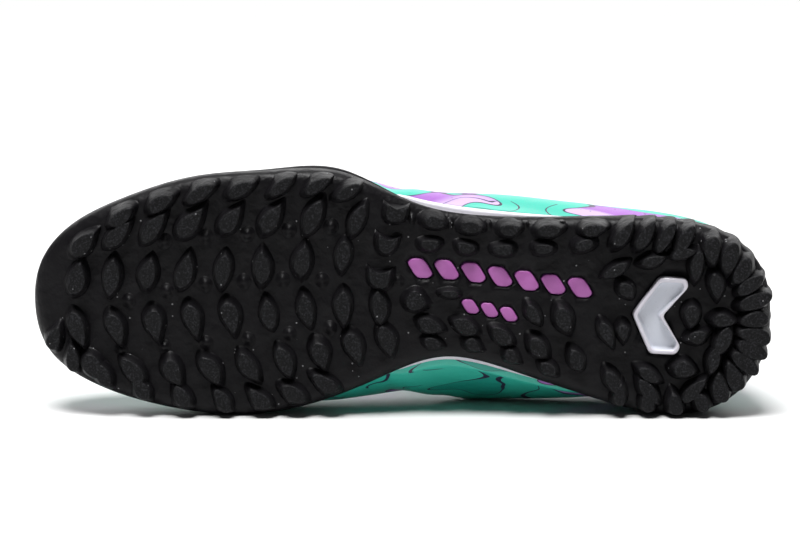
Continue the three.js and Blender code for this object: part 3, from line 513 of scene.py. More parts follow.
def buildPrint(tree, given):  # long patches of two tones on a ground, with thin drawn outlines and dots
    place = bentPlace(tree, given["Vector"])
    level = noise(tree, place, given["Scale"], printLook["detail"]).outputs[0]
    away = node(tree, "ShaderNodeMapping", {
        "Vector": place, "Location": printLook["secondMoved"], "Scale": printLook["secondStretch"]})
    second = noise(tree, away.outputs[0], given["Scale"], 1.0).outputs[0]
    patch = ramped(tree, level, *printLook["patchEdge"])
    deep = calc(tree, "SUBTRACT", 1.0, ramped(tree, level, *printLook["deepEdge"]))

    def drawn(value, at, width):
        return calc(tree, "COMPARE", value, printLook[at], times(tree, given["Line"], width))
    broken = times(tree, drawn(level, "groundLine", 0.55), ramped(tree, second, *printLook["breakEdge"]))
    inner = times(tree, drawn(second, "innerLine", 0.6), patch)
    outlines = calc(tree, "MAXIMUM", drawn(level, "patchLine", 1.0), drawn(level, "deepLine", 0.6))
    drawing = calc(tree, "MAXIMUM", outlines, calc(tree, "MAXIMUM", broken, inner))
    ground = colorMix(tree, deep, given["Ground"], given["Deep"])
    patchTone = colorMix(tree, ramped(tree, second, *printLook["paleEdge"]), given["Patch"], given["Pale"])
    color = colorMix(tree, patch, ground, patchTone)
    dots = times(tree, inkDots(tree, given["Vector"], level), printLook["dotInk"])
    return {"Color": colorMix(tree, calc(tree, "MAXIMUM", drawing, dots), color, given["Ink"])}


printColors = ("Ground", "Deep", "Patch", "Pale", "Ink")
inPlace = {"Vector": "vector", "Scale": "value"}
specks = groupOf("specks", {**inPlace, "Size": "value", "Share": "value"}, {"Mask": "value"}, buildSpecks)
grain = groupOf("grain", inPlace, {"Fine": "value", "Wide": "value"}, buildGrain)
knit = groupOf("knit", inPlace, {"Height": "value"}, buildKnit)
blotchPrint = groupOf("blotch print", {**inPlace, "Line": "value", **dict.fromkeys(printColors, "color")},
                      {"Color": "color"}, buildPrint)


def newMaterial(name, color, roughness, **plain):
    material = bpy.data.materials.new(name)
    material.use_nodes = True
    material.diffuse_color = (*color[:3], 1)
    tree = material.node_tree
    shader = tree.nodes["Principled BSDF"]
    shader.inputs["Base Color"].default_value = (*color[:3], 1)
    shader.inputs["Roughness"].default_value = roughness
    for key, value in plain.items():
        shader.inputs[key].default_value = value
    return material, tree, shader


def bumped(tree, shader, layers):  # layers are (height socket, strength, distance in mm)
    normal = None
    for height, strength, distance in layers:
        made = node(tree, "ShaderNodeBump", {
            "Height": height, "Strength": strength, "Distance": distance / 1000})
        if normal is not None:
            tree.links.new(normal, made.inputs["Normal"])
        normal = made.outputs[0]
    tree.links.new(normal, shader.inputs["Normal"])


def objectPlace(tree):
    return node(tree, "ShaderNodeTexCoord").outputs["Object"]


def surfacePlace(tree):
    return node(tree, "ShaderNodeUVMap", uv_map="lengths").outputs[0]


def markOf(tree, name):
    return node(tree, "ShaderNodeAttribute", attribute_name=name).outputs["Fac"]


def colored(tree, shader, color):
    tree.links.new(color, shader.inputs["Base Color"])


def roughOver(tree, grainMask, low, high):  # most of the grain lies between 0.3 and 0.7
    return node(tree, "ShaderNodeMapRange", {0: grainMask, 1: 0.3, 2: 0.7, 3: low, 4: high}).outputs[0]


# The light grey speck colour is painted glints on the rubber, which also read as dust.
rubberLook = {
    "black": (0.0042, 0.0038, 0.0047), "tipDark": (0.0035, 0.0035, 0.004), "tipLight": (0.022, 0.022, 0.025),
    "speck": (0.3, 0.3, 0.31), "speckScale": 420, "speckSize": 0.13, "speckShare": 0.1,
    "roughness": (0.36, 0.54), "grainScale": 1500, "swellScale": 1100,
    "plain": {"Specular IOR Level": 0.15, "Sheen Weight": 0.01, "Sheen Roughness": 0.4}}


def rubberMaterial():  # worn lighter and rougher on the studs' tips
    material, tree, shader = newMaterial("outsole rubber", rubberLook["black"], 0.5, **rubberLook["plain"])
    place = objectPlace(tree)
    moulded = placed(tree, grain, Vector=place, Scale=rubberLook["grainScale"])
    swell = placed(tree, grain, Vector=place, Scale=rubberLook["swellScale"])["Wide"]
    # light grey specks all over the rubber: painted glints that also read as dust
    dustAndGlints = placed(tree, specks, Vector=place, Scale=rubberLook["speckScale"], Size=rubberLook["speckSize"],
                  Share=rubberLook["speckShare"])
    tip = markOf(tree, "tip")
    wear = ramped(tree, moulded["Fine"], 0.46, 0.72)
    worn = colorMix(tree, wear, rubberLook["tipDark"], rubberLook["tipLight"])
    color = colorMix(tree, tip, rubberLook["black"], worn)
    colored(tree, shader, colorMix(tree, times(tree, dustAndGlints["Mask"], 0.7), color, rubberLook["speck"]))
    rough = roughOver(tree, moulded["Wide"], *rubberLook["roughness"])
    tree.links.new(calc(tree, "MULTIPLY_ADD", tip, 0.12, rough), shader.inputs["Roughness"])
    crumb = times(tree, moulded["Wide"], calc(tree, "MULTIPLY_ADD", tip, 1.0, 0.25))
    fine = times(tree, moulded["Fine"], calc(tree, "MULTIPLY_ADD", tip, 3.0, 0.8))
    bumped(tree, shader, [(swell, 0.42, 2.4), (crumb, 0.6, 0.6), (fine, 0.3, 0.2)])
    return material


foamLook = {"plain": (0.72, 0.7, 0.76), "light": (0.76, 0.74, 0.79), "dark": (0.64, 0.62, 0.71),
            "cellScale": 1400.0, "grainScale": 500}


def foamMaterial():
    material, tree, shader = newMaterial("midsole foam", foamLook["plain"], 0.62)
    place = objectPlace(tree)
    cells = node(tree, "ShaderNodeTexVoronoi", {"Vector": place, "Scale": foamLook["cellScale"]})
    moulded = placed(tree, grain, Vector=place, Scale=foamLook["grainScale"])
    clouds = ramped(tree, moulded["Wide"], 0.3, 0.75)
    colored(tree, shader, colorMix(tree, clouds, foamLook["light"], foamLook["dark"]))
    bumped(tree, shader, [(moulded["Wide"], 0.2, 0.6), (cells.outputs["Distance"], 0.25, 0.15)])
    return material


filmLook = {"plain": (0.6, 0.62, 0.68), "dark": (0.5, 0.53, 0.6), "light": (0.66, 0.68, 0.74),
            "rim": (0.6, 0.58, 0.64), "roughness": (0.26, 0.4), "grainScale": 700}


def windowMaterial():
    material, tree, shader = newMaterial("window film", filmLook["plain"], 0.3, **{
        "Coat Weight": 0.5, "Coat Roughness": 0.12})
    haze = placed(tree, grain, Vector=objectPlace(tree), Scale=filmLook["grainScale"])
    inside = colorMix(tree, haze["Wide"], filmLook["dark"], filmLook["light"])
    colored(tree, shader, colorMix(tree, markOf(tree, "rim"), inside, filmLook["rim"]))
    tree.links.new(roughOver(tree, haze["Fine"], *filmLook["roughness"]), shader.inputs["Roughness"])
    bumped(tree, shader, [(haze["Wide"], 0.15, 0.4), (haze["Fine"], 0.1, 0.08)])
    return material


# The deep colour is painted shade, put on the block's walls down in the groove of its pocket.
inlayLook = {"plain": (0.42, 0.1, 0.44), "dark": (0.34, 0.085, 0.32), "light": (0.41, 0.12, 0.39),
             "deep": (0.07, 0.012, 0.09), "grainScale": 1300}


def inlayMaterial():
    material, tree, shader = newMaterial("fuchsia inlay", inlayLook["plain"], 0.42)
    moulded = placed(tree, grain, Vector=objectPlace(tree), Scale=inlayLook["grainScale"])
    clouds = ramped(tree, moulded["Wide"], 0.3, 0.7)
    face = colorMix(tree, clouds, inlayLook["dark"], inlayLook["light"])
    # the walls down in the pocket take the deep colour as painted shade in the groove
    colored(tree, shader, colorMix(tree, markOf(tree, "deep"), face, inlayLook["deep"]))
    bumped(tree, shader, [(moulded["Wide"], 0.25, 0.3), (moulded["Fine"], 0.2, 0.08)])
    return material


skinLook = {"grainScale": 700, "knitScale": 1.1, "roughness": (0.36, 0.5)}


def skinMaterial():
    material, tree, shader = newMaterial("upper skin", printLook["ground"], 0.42, **{
        "Coat Weight": 0.12, "Coat Roughness": 0.35})
    place = objectPlace(tree)
    tones = {label: (*printLook[label.lower()], 1) for label in printColors}
    drawn = placed(tree, blotchPrint, Vector=place, Scale=printLook["scale"], Line=printLook["line"], **tones)
    moulded = placed(tree, grain, Vector=place, Scale=skinLook["grainScale"])
    shade = calc(tree, "MULTIPLY_ADD", moulded["Wide"], 0.16, 0.92)
    toned = node(tree, "ShaderNodeHueSaturation", {"Color": drawn["Color"], "Value": shade})
    colored(tree, shader, toned.outputs[0])
    tree.links.new(roughOver(tree, moulded["Wide"], *skinLook["roughness"]), shader.inputs["Roughness"])
    loops = placed(tree, knit, Vector=surfacePlace(tree), Scale=skinLook["knitScale"])
    bumped(tree, shader, [(moulded["Wide"], 0.12, 0.5), (loops["Height"], 0.3, 0.22)])
    return material


def clothMaterial(name, dark, light, scale, roughness, depth):
    material, tree, shader = newMaterial(name, light, roughness, **{
        "Sheen Weight": 0.25, "Sheen Roughness": 0.5})
    loops = placed(tree, knit, Vector=surfacePlace(tree), Scale=scale)
    moulded = placed(tree, grain, Vector=objectPlace(tree), Scale=900)
    # The knit's low parts take the darker colour as painted shade in its hollows; the raised loops take the
    # lighter one.
    colored(tree, shader, colorMix(tree, loops["Height"], dark, light))
    bumped(tree, shader, [(moulded["Wide"], 0.2, 0.5), (loops["Height"], 0.6, depth)])
    return material


# The dark colour is painted shade in the low parts of the weave.
laceLook = {"plain": (0.62, 0.86, 0.82), "dark": (0.17, 0.42, 0.38), "light": (0.5, 0.76, 0.72), "twill": 4.6}


def laceMaterial():
    material, tree, shader = newMaterial("lace weave", laceLook["plain"], 0.7, **{"Sheen Weight": 0.3})
    parts = node(tree, "ShaderNodeSeparateXYZ", {0: surfacePlace(tree)}).outputs
    across = calc(tree, "ABSOLUTE", parts[1])
    threads = [calc(tree, "SINE", times(tree, calc(tree, way, parts[0], across), laceLook["twill"]))
               for way in ("ADD", "SUBTRACT")]
    height = calc(tree, "MAXIMUM", *threads)
    # the raised threads take the light colour and the low weave the dark one, as painted shade
    raised = ramped(tree, height, -0.2, 0.9)
    colored(tree, shader, colorMix(tree, raised, laceLook["dark"], laceLook["light"]))
    bumped(tree, shader, [(height, 0.8, 0.3)])
    return material


def plainMaterial(name, color, roughness):
    material, tree, shader = newMaterial(name, color, roughness)
    fine = placed(tree, grain, Vector=objectPlace(tree), Scale=2500)
    bumped(tree, shader, [(fine["Fine"], 0.3, 0.08)])
    return material


rubber = rubberMaterial()
foam = foamMaterial()
windowFilm = windowMaterial()
inlayRubber = inlayMaterial()
skin = skinMaterial()
# Each cloth's first colour is the painted shade in its knit's hollows.
lining = clothMaterial("collar lining", (0.012, 0.11, 0.095), (0.03, 0.26, 0.22), 0.9, 0.85, 0.3)
tongueKnit = clothMaterial("tongue knit", (0.03, 0.3, 0.25), (0.09, 0.6, 0.48), 0.8, 0.75, 0.35)
insoleCloth = clothMaterial("insole cloth", (0.012, 0.012, 0.014), (0.045, 0.045, 0.052), 0.8, 0.9, 0.25)
laceWeave = laceMaterial()
threadLook = plainMaterial("stitch thread", (0.012, 0.14, 0.12), 0.6)
eyeletLook = plainMaterial("eyelet rim", (0.2, 0.09, 0.3), 0.45)
print("materials made")


# outsole body

outsoleParts = {"around": 320, "spineShares": (0, 0.1, 0.22, 0.36, 0.5, 0.64, 0.78, 0.9), "roundSteps": 8,
                "wing": 1.3, "wingAt": 7.15, "wingSpan": 0.75, "hollow": 2.15}
# share of the way up the sidewall, and inset
sidewallRings = ((0.35, 0.05), (0.45, 0.28), (0.55, 0.28), (0.65, 0.05), (0.9, 0.1))
# inset, and how far below the rim's top
rimRings = ((0.2, 0.3), (0.5, 0.04), (0.9, 0), (1.7, 0), (2.05, 0.12), (2.15, 0.5))


def roundThe(count):
    return np.arange(count) / count * stations + toeStation


def ringAt(at, inset, height):
    plan = insideEdge(at, np.broadcast_to(inset, at.shape))
    level = height(plan[:, 0], at) if callable(height) else height
    return np.column_stack([plan, np.broadcast_to(level, at.shape)])


def spineOf(at):
    low, high = 0.12 * sole["length"], 0.88 * sole["length"]
    x = np.clip((edgeX(at) + edgeX(2 * toeStation - at)) / 2, low, high)
    return np.column_stack([x, 0.024 * sole["ball"] * x / sole["length"]])


def closingRings(edge, at, shares, height):
    spine = spineOf(at)
    rings = []
    for share in shares:
        plan = blendOf(spine, edge[:, :2], share)
        rings.append(np.column_stack([plan, height(plan[:, 0], at)]))
    return rings


def wallTurn(at, x):  # where the rounded lower edge ends and the sidewall starts
    return np.minimum(baseAt(x) + sole["rounding"], rimTop(at) - 1)


def wingOut(at):  # the sidewall leans out a little at the ball's little-toe side
    aside = (at % stations - outsoleParts["wingAt"]) / outsoleParts["wingSpan"]
    return outsoleParts["wing"] * np.exp(-aside ** 2)


def overPlate(x, at):
    return baseAt(x)


def overFloor(x, at):
    return floorAt(x)


def outsoleBody():
    at = roundThe(outsoleParts["around"])
    shares = outsoleParts["spineShares"]
    rounding = sole["rounding"]
    low = ringAt(at, rounding, overPlate)
    rings = closingRings(low, at, shares, overPlate) + [low]
    for angle in np.linspace(0, math.pi / 2, outsoleParts["roundSteps"])[1:]:
        inset = rounding * (1 - math.sin(angle))
        rings.append(ringAt(at, inset, lambda x, a: blendOf(baseAt(x), wallTurn(a, x), 1 - math.cos(angle))))
    for share, inset in sidewallRings:
        lean = wingOut(at) * share
        rings.append(ringAt(at, inset - lean, lambda x, a: blendOf(wallTurn(a, x), rimTop(a) - 0.5, share)))
    for inset, below in rimRings:
        lean = wingOut(at) * (inset < 1)
        rings.append(ringAt(at, inset - lean, lambda x, a: rimTop(a) - below))
    hollow = ringAt(at, outsoleParts["hollow"], overFloor)
    rings += [hollow] + closingRings(hollow, at, shares[::-1], overFloor)
    vertices = np.concatenate(rings)
    return meshObject("outsoleBody", vertices, stackFaces(len(rings), len(at)), [rubber],
                      marks={"tip": np.zeros(len(vertices))})


# studs

studSizes = {
    "long": 13, "wide": 7, "corners": 36, "ridge": 0.45, "horn": 0.62, "heel": 0.04, "heelEnd": 0.25,
    "flare": 2.7, "flareSpread": 0.4, "jitter": 0.07, "twist": 5, "lean": 0.8, "wobbleTwo": 0.06,
    "wobbleThree": 0.05, "point": 1.3, "edgePoint": 1.0, "beanPoint": 0.85, "blunt": 0.2,
    "bluntSpread": 0.25, "softBite": 0.3,
    "tip": 0.84, "edgeTip": 0.84, "softTip": 0.66, "climbShare": 0.75, "raised": 0.12, "rooted": 0.9,
    "bulge": 0.16, "bulgeMost": 8}
studRows = columnsOf("start by end count first middle last long wide turnStart turnEnd bite", [
    (0.932, 0.774, 0.565, 8, 0.84, 0.8, 0.82, 1.1, 0.95, -50, -66, 0),
    (0.939, 0.774, 0.582, 8, 0.635, 0.577, 0.646, 1.05, 0.98, -80, -86, 0),
    (0.936, 0.725, 0.53, 9, 0.31, 0.48, 0.395, 1.04, 1, 66, 84, 0),
    (0.912, 0.69, 0.518, 9, 0.11, 0.26, 0.21, 1, 1, 48, 72, 0),
    (0.514, 0.526, 0.53, 3, 0.925, 0.748, 0.563, 0.72, 1.4, 4, 4, 0.5),
    (0.467, 0.372, 0.26, 5, 0.772, 0.775, 0.859, 0.74, 0.9, 6, -14, 0.2),
    (0.461, 0.366, 0.263, 5, 0.239, 0.222, 0.206, 0.78, 0.95, 14, 60, 0),
    (0.456, 0.375, 0.299, 4, 0.115, 0.115, 0.105, 0.55, 0.7, 14, 40, 0),
])
studRings = columnsOf("start by end count inset insetEnd long wide turnStart turnEnd climb", [
    (10.15, 8.22, 6.85, 7, 1.15, 1.05, 0.92, 0.76, -10, -42, 0.23),
    (5.68, 4.7, 3.66, 5, 0.9, 0.8, 0.72, 0.72, 0, -10, 0.18),
    (13.7, 16.4, 18.3, 9, 1.05, 1.5, 0.86, 0.85, 44, 52, 0.23),
    (3.3, 2.9, 2.5, 4, 1.15, 1.15, 1.02, 0.72, -60, -68, 0.5),
    (2.05, 0.1, -1.9, 11, 1.38, 1.38, 1.02, 0.96, 62, 114, 0.6),
    (-2.35, -3, -3.6, 4, 1.1, 1.05, 0.74, 0.76, 70, 80, 0.34),
])
studsAlone = columnsOf("along across long wide turn bite", [
    (0.481, 0.408, 0.64, 1.08, 10, 0),
    (0.437, 0.452, 0.7, 0.6, 4, 0.2),
    (0.324, 0.415, 0.72, 0.8, 62, 0),
    (0.282, 0.414, 0.8, 0.98, 66, 0),
    (0.111, 0.53, 0.62, 0.85, 90, 0),
    (0.068, 0.519, 0.72, 0.74, 0, 0),
    (0.08, 0.71, 0.9, 0.8, 82, 0),
    (0.108, 0.79, 0.85, 0.75, 98, 0),
    (0.066, 0.409, 0.94, 0.8, -65, 0),
    (0.1, 0.427, 0.6, 0.7, -20, 0),
    (0.118, 0.253, 0.74, 1, 10, 0),
    (0.078, 0.294, 0.86, 0.75, -75, 0),
    (0.164, 0.208, 0.8, 0.68, 32, 0),
    (0.202, 0.409, 0.55, 0.6, 80, 0),
    (0.224, 0.385, 0.8, 0.75, 60, 0),
    (0.201, 0.631, 0.5, 0.8, 60, 0),
    (0.215, 0.733, 0.8, 0.62, -30, 0),
    (0.167, 0.795, 0.8, 0.6, -25, 0),
    (0.126, 0.85, 0.7, 0.62, -12, 0),
    (0.102, 0.14, 0.95, 0.75, -50, 0),
    (0.163, 0.125, 1, 0.78, 55, 0),
    (0.212, 0.135, 0.92, 0.72, 62, 0),
])
denseAt = np.linspace(0, stations, 2600, endpoint=False)
denseEdge = np.column_stack([edgeX(denseAt), edgeY(denseAt)])
denseOut = outwardsOf(edgeX, edgeY, denseAt)


# Drops plan points on to the outside of the rubber. Beyond the outline they climb the sidewall.
def onSole(plan):
    gaps = plan[:, None, :] - denseEdge[None]
    nearest = np.argmin((gaps ** 2).sum(-1), 1)
    depth = -(gaps[np.arange(len(plan)), nearest] * denseOut[nearest]).sum(-1)
    moved = np.where(depth[:, None] < 0, denseEdge[nearest], plan)
    x = moved[:, 0]
    turn = wallTurn(denseAt[nearest], x)
    bend = np.clip((sole["rounding"] - depth) / sole["rounding"], 0, 1)
    height = blendOf(baseAt(x), turn, 1 - np.sqrt(1 - bend ** 2)) + np.maximum(-depth, 0)
    height = np.minimum(height, rimTop(denseAt[nearest]) - 1.2)
    return np.column_stack([moved, height]), depth, denseOut[nearest]


def sidesAt(x):
    half = np.linspace(0, toeStation, 900)
    little = np.interp(x, edgeX(half), half)
    other = np.linspace(toeStation, stations, 900)
    big = np.interp(-x, -edgeX(other), other)
    return little, big


def placeOnSole(along, across):
    x = along * sole["length"]
    little, big = sidesAt(x)
    return np.array([x, float(blendOf(edgeY(big), edgeY(little), across))])


def through(a, b, c, t):
    return blendOf(blendOf(a, b, t), blendOf(b, c, t), t)


def studList():
    still = np.zeros(2)
    studs = [(placeOnSole(along, across), long, wide, math.radians(turn), bite, 0.0, still)
             for along, across, long, wide, turn, bite in zip(*studsAlone.values())]
    for row in zip(*studRows.values()):
        start, by, end, count, first, middle, last, long, wide, turnStart, turnEnd, bite = row
        for t in np.linspace(0, 1, int(count)):
            place = placeOnSole(through(start, by, end, t), through(first, middle, last, t))
            turn = math.radians(blendOf(turnStart, turnEnd, t))
            studs.append((place, long, wide, turn, bite, 0.0, still))
    for row in zip(*studRings.values()):
        start, by, end, count, inset, insetEnd, long, wide, turnStart, turnEnd, climb = row
        for t in np.linspace(0, 1, int(count)):
            at = np.array([through(start, by, end, t)])
            out = outwardsOf(edgeX, edgeY, at)[0]
            centre = insideEdge(at, [blendOf(inset, insetEnd, t) * sole["rounding"]])[0]
            turn = math.atan2(-out[0], out[1]) + math.radians(blendOf(turnStart, turnEnd, t))
            studs.append((centre, long, wide, turn, 0.0, climb * sole["rim"], out))
    return studs


# How a stud's side goes from its foot to its tip: share of the way in, share of the way down.
studProfile = ((0.0, 0.0), (0.14, 0.04), (0.27, 0.13), (0.4, 0.27), (0.53, 0.45), (0.67, 0.64), (0.81, 0.81),
               (0.93, 0.92))
studTip = ((1.0, 0.965), (0.93, 0.99), (0.75, 1.0), (0.4, 0.995))


# A leaf with one blunter end, a bean, or a bucket with two horns, by how much is bitten out of one side.
def studOutline(angle, bite, atEdge, blunt):
    lengthwise, sideways = np.cos(angle), np.sin(angle)
    if not bite:
        point = studSizes["edgePoint" if atEdge else "point"]
        return np.sign(sideways) * np.abs(sideways) ** point * (1 + blunt * lengthwise)
    if bite < studSizes["softBite"]:
        bitten = 1 - bite * np.maximum(0, sideways) ** 2
        return np.sign(sideways) * np.abs(sideways) ** studSizes["beanPoint"] * bitten
    horn = studSizes["horn"]
    upper = horn - 0.9 * bite * (1 - np.abs(lengthwise) ** 1.3)
    lower = horn - (1 + horn) * np.abs(sideways) ** 0.5
    return np.where(sideways > 0, upper, lower)


def studShape(stud, randoms):
    centre, long, wide, turn, bite, climb, out = stud
    count = studSizes["corners"]
    turn = turn + math.radians(studSizes["twist"]) * (randoms[2] * 2 - 1)
    angle = (np.arange(count) + 0.5) / count * 2 * math.pi
    blunt = studSizes["blunt"] + studSizes["bluntSpread"] * (randoms[0] - 0.5)
    side = studOutline(angle, bite, climb > 0, blunt)
    axis = np.array([math.cos(turn), math.sin(turn)])
    across = np.array([-axis[1], axis[0]])
    atHeel = centre[0] < studSizes["heelEnd"] * sole["length"]
    size = 1 + studSizes["jitter"] * (randoms[1] * 2 - 1) + studSizes["heel"] * atHeel
    halfLong, halfWide = long * size * studSizes["long"] / 2, wide * size * studSizes["wide"] / 2
    wobble = 1 + studSizes["wobbleTwo"] * np.sin(2 * angle + 6.3 * randoms[0])
    wobble += studSizes["wobbleThree"] * np.sin(3 * angle + 6.3 * randoms[2])
    rim = np.outer(np.cos(angle) * halfLong * wobble, axis) + np.outer(side * halfWide * wobble, across)
    outward = np.maximum(0, unit(rim) @ out)
    flare = studSizes["flare"] * (1 + studSizes["flareSpread"] * (randoms[0] - 0.5))
    ridge = np.abs(np.cos(angle)) ** 4 * studSizes["ridge"] * (not bite)
    spread = unit(rim) * (flare * (0.55 + ridge))[:, None]
    foot = centre + rim + spread + np.outer(outward ** 2 * climb * studSizes["climbShare"], out)
    lean = studSizes["lean"] * (randoms[1] - 0.5) * axis
    tipSize = "edgeTip" if climb > 0 else "softTip" if 0 < bite < studSizes["softBite"] else "tip"
    tipPlan = centre + rim * studSizes[tipSize] + lean
    x = centre[0]
    slope = float(groundAt(x + 1) - groundAt(x - 1)) / 2
    tipHeight = float(groundAt(x)) + slope * (tipPlan[:, 0] - x)
    return foot, np.column_stack([tipPlan, tipHeight]), outward


def studsMesh():
    studs = studList()
    rng = np.random.default_rng(5)
    shapes = [studShape(stud, rng.random(3)) for stud in studs]
    feet = onSole(np.concatenate([shape[0] for shape in shapes]))[0]
    count = studSizes["corners"]
    rings = 2 + len(studProfile) + len(studTip)
    ringMarks = [0] * (len(studProfile) - 1) + [0.3, 0.8] + [1] * (len(studTip) + 1)
    vertices, faces = [], []
    for i, (stud, shape) in enumerate(zip(studs, shapes)):
        foot = feet[i * count:(i + 1) * count].copy()
        foot[:, 2] += studSizes["raised"]
        tip, outward = shape[1], shape[2]
        out = np.append(stud[6], 0)
        bulge = min(stud[5], studSizes["bulgeMost"]) * studSizes["bulge"]
        inner = foot.mean(0) + np.array([0, 0, studSizes["rooted"]])
        layers = [np.repeat(inner[None], count, 0)]
        for inward, down in studProfile:
            layer = blendOf(foot, tip, np.array([inward, inward, down]))
            layer += np.outer(outward ** 2 * math.sin(math.pi * down ** 0.6) * bulge, out)
            layers.append(layer)
        middle = tip.mean(0)
        baseLevel = foot[:, 2].mean()
        for share, down in studTip:
            layer = blendOf(middle, tip, share)
            layer[:, 2] = blendOf(baseLevel, layer[:, 2], down)
            layers.append(layer)
        middle[2] = blendOf(baseLevel, middle[2], 0.99)
        layers.append(np.repeat(middle[None], count, 0))
        first = len(vertices) * count
        vertices += layers
        faces += [[first + v for v in face] for face in stackFaces(rings, count)]
    marks = np.tile(np.repeat(ringMarks, count), len(studs))
    return meshObject("studs", np.concatenate(vertices), faces, [rubber], marks={"tip": marks})


pipSizes = {"corners": 18, "point": 1.2, "rooted": 0.6}
pipRows = columnsOf("start by end count first middle last long wide turn high", [
    (0.822, 0.712, 0.6, 5, 0.746, 0.745, 0.768, 7.5, 7, -75, 1.7),
    (0.868, 0.741, 0.609, 6, 0.481, 0.6, 0.536, 7.5, 6.6, 80, 1.6),
    (0.876, 0.73, 0.595, 6, 0.234, 0.345, 0.323, 7, 6.4, 70, 1.6),
    (0.492, 0.362, 0.243, 6, 0.905, 0.97, 0.968, 6.4, 4, 86, 1.7),
    (0.51, 0.508, 0.506, 2, 0.77, 0.65, 0.533, 6, 5, 60, 1.1),
])
pipProfile = ((0, -0.12), (0.22, 0.08), (0.42, 0.3), (0.58, 0.6), (0.74, 0.85), (0.88, 0.97))


def pipsMesh():  # low soft bumps between the studs
    count = pipSizes["corners"]
    angle = np.arange(count) / count * 2 * math.pi
    sideways = np.sign(np.sin(angle)) * np.abs(np.sin(angle)) ** pipSizes["point"]
    vertices, faces = [], []
    for row in zip(*pipRows.values()):
        start, by, end, number, first, middle, last, long, wide, turn, high = row
        for t in np.linspace(0, 1, int(number)):
            centre = placeOnSole(through(start, by, end, t), through(first, middle, last, t))
            place, depth, out = (found[0] for found in onSole(centre[None]))
            bend = float(np.clip(1 - depth / sole["rounding"], 0, 1))
            away = np.append(out * bend, -math.sqrt(1 - bend ** 2)) * high
            axis = np.array([math.cos(math.radians(turn)), math.sin(math.radians(turn))])
            rim = np.outer(np.cos(angle) * long / 2, axis)
            rim += np.outer(sideways * wide / 2, [-axis[1], axis[0]])
            foot = onSole(centre + rim)[0]
            layers = [np.repeat((place - away * pipSizes["rooted"])[None], count, 0)]
            layers += [blendOf(foot, place, inward) + away * up for inward, up in pipProfile]
            layers.append(np.repeat((place + away)[None], count, 0))
            begin = len(vertices) * count
            vertices += layers
            faces += [[begin + v for v in face] for face in stackFaces(len(layers), count)]
    vertices = np.concatenate(vertices)
    return meshObject("pips", vertices, faces, [rubber], marks={"tip": np.zeros(len(vertices))})


# heel window and waist inlay

windowSizes = {"along": 0.19, "across": 0.505, "span": 29.5, "depth": 20, "arm": 11.5, "corner": 3,
               "rim": 1.6, "slant": 0.08, "steps": 5, "round": 1.6, "proud": 0.62}
# margin outside the outline, inset in rims, 1 for heights from the face and 0 from the plate, height, tone
windowRings = (
    (0.25, 0, 0, 1.6, 1),
    (0.22, 0, 0, -0.3, 1),
    (0.05, 0, 1, 0.7, 1),
    (-0.08, 0, 1, 0.25, 1),
    (-0.35, 0, 1, 0.03, 1),
    (-0.7, 0, 1, 0, 1),
    (0, 0.75, 1, 0, 1),
    (0, 0.95, 1, 0.18, 1),
    (0, 1.08, 1, 0.7, 0.5),
    (0, 1.3, 0, -0.95, 0.05),
    (0, 1.6, 0, -0.65, 0),
    (0, 2.0, 0, -0.6, 0),
)
inlaySizes = {"block": 7.4, "slant": 0.35, "cut": 0.45, "round": 1.3, "steps": 4,
              "rows": ((0.478, 0.262, 7, 0.61, 0.605, 1.0), (0.408, 0.356, 3, 0.37, 0.37, 0.72))}
# margin outside the outline, height over the plate, and how much painted shade it takes in the groove
inlayRings = ((0.34, 1.3, 1), (0.34, 0.75, 1), (0.05, 0.7, 0.9), (0, -0.1, 0.25), (-0.12, -0.3, 0),
              (-0.4, -0.38, 0), (-1.2, -0.38, 0))
pocket = {"window": 0.55, "block": 0.5, "deep": 1.1, "proud": 3}


def roundedOutline(corners, radius, steps):
    corners = np.asarray(corners, float)
    points = []
    for i, corner in enumerate(corners):
        before, after = corners[i - 1] - corner, corners[(i + 1) % len(corners)] - corner
        reach = min(radius, 0.45 * np.linalg.norm(before), 0.45 * np.linalg.norm(after))
        start, end = corner + unit(before) * reach, corner + unit(after) * reach
        for t in np.linspace(0, 1, steps):
            points.append(start * (1 - t) ** 2 + 2 * corner * t * (1 - t) + end * t * t)
    return np.array(points)


def windowOutline(margin):
    x, y = placeOnSole(windowSizes["along"], windowSizes["across"])
    half = windowSizes["span"] / 2 + margin
    corner = windowSizes["corner"]
    back = x - windowSizes["depth"]
    shoulder = (x - windowSizes["depth"] + windowSizes["arm"] + margin * 0.4, half)
    end = (back + corner / 2 - margin * 0.4, half)
    notch = (x - windowSizes["arm"] - margin, 0)
    raw = [(x + margin, 0), shoulder, end, (back - margin, half - corner), notch,
           (back - margin, corner - half), (end[0], -half), (shoulder[0], -half)]
    turned = [(along - across * windowSizes["slant"], y + across) for along, across in raw]
    return roundedOutline(turned, windowSizes["round"], windowSizes["steps"])


def stackOutlines(name, layers, materials, marks=None):  # layers are (outline, heights), closed at both ends
    rings = [np.column_stack(layer) for layer in layers]
    count = len(rings[0])
    faces = stackFaces(len(rings), count) + endFaces(len(rings), count)
    values = {key: np.repeat(value, count) for key, value in (marks or {}).items()}
    return meshObject(name, np.concatenate(rings), faces, materials, marks=values)


def windowFace(x):
    return baseAt(x) - sole["heelStud"] * windowSizes["proud"]


def heelWindow():
    layers = []
    for margin, inset, onFace, above, tone in windowRings:
        plan = windowOutline(margin - windowSizes["rim"] * inset)
        level = windowFace(plan[:, 0]) if onFace else baseAt(plan[:, 0])
        layers.append((plan, level + above))
    return stackOutlines("heelWindow", layers, [windowFilm], {"rim": [ring[-1] for ring in windowRings]})


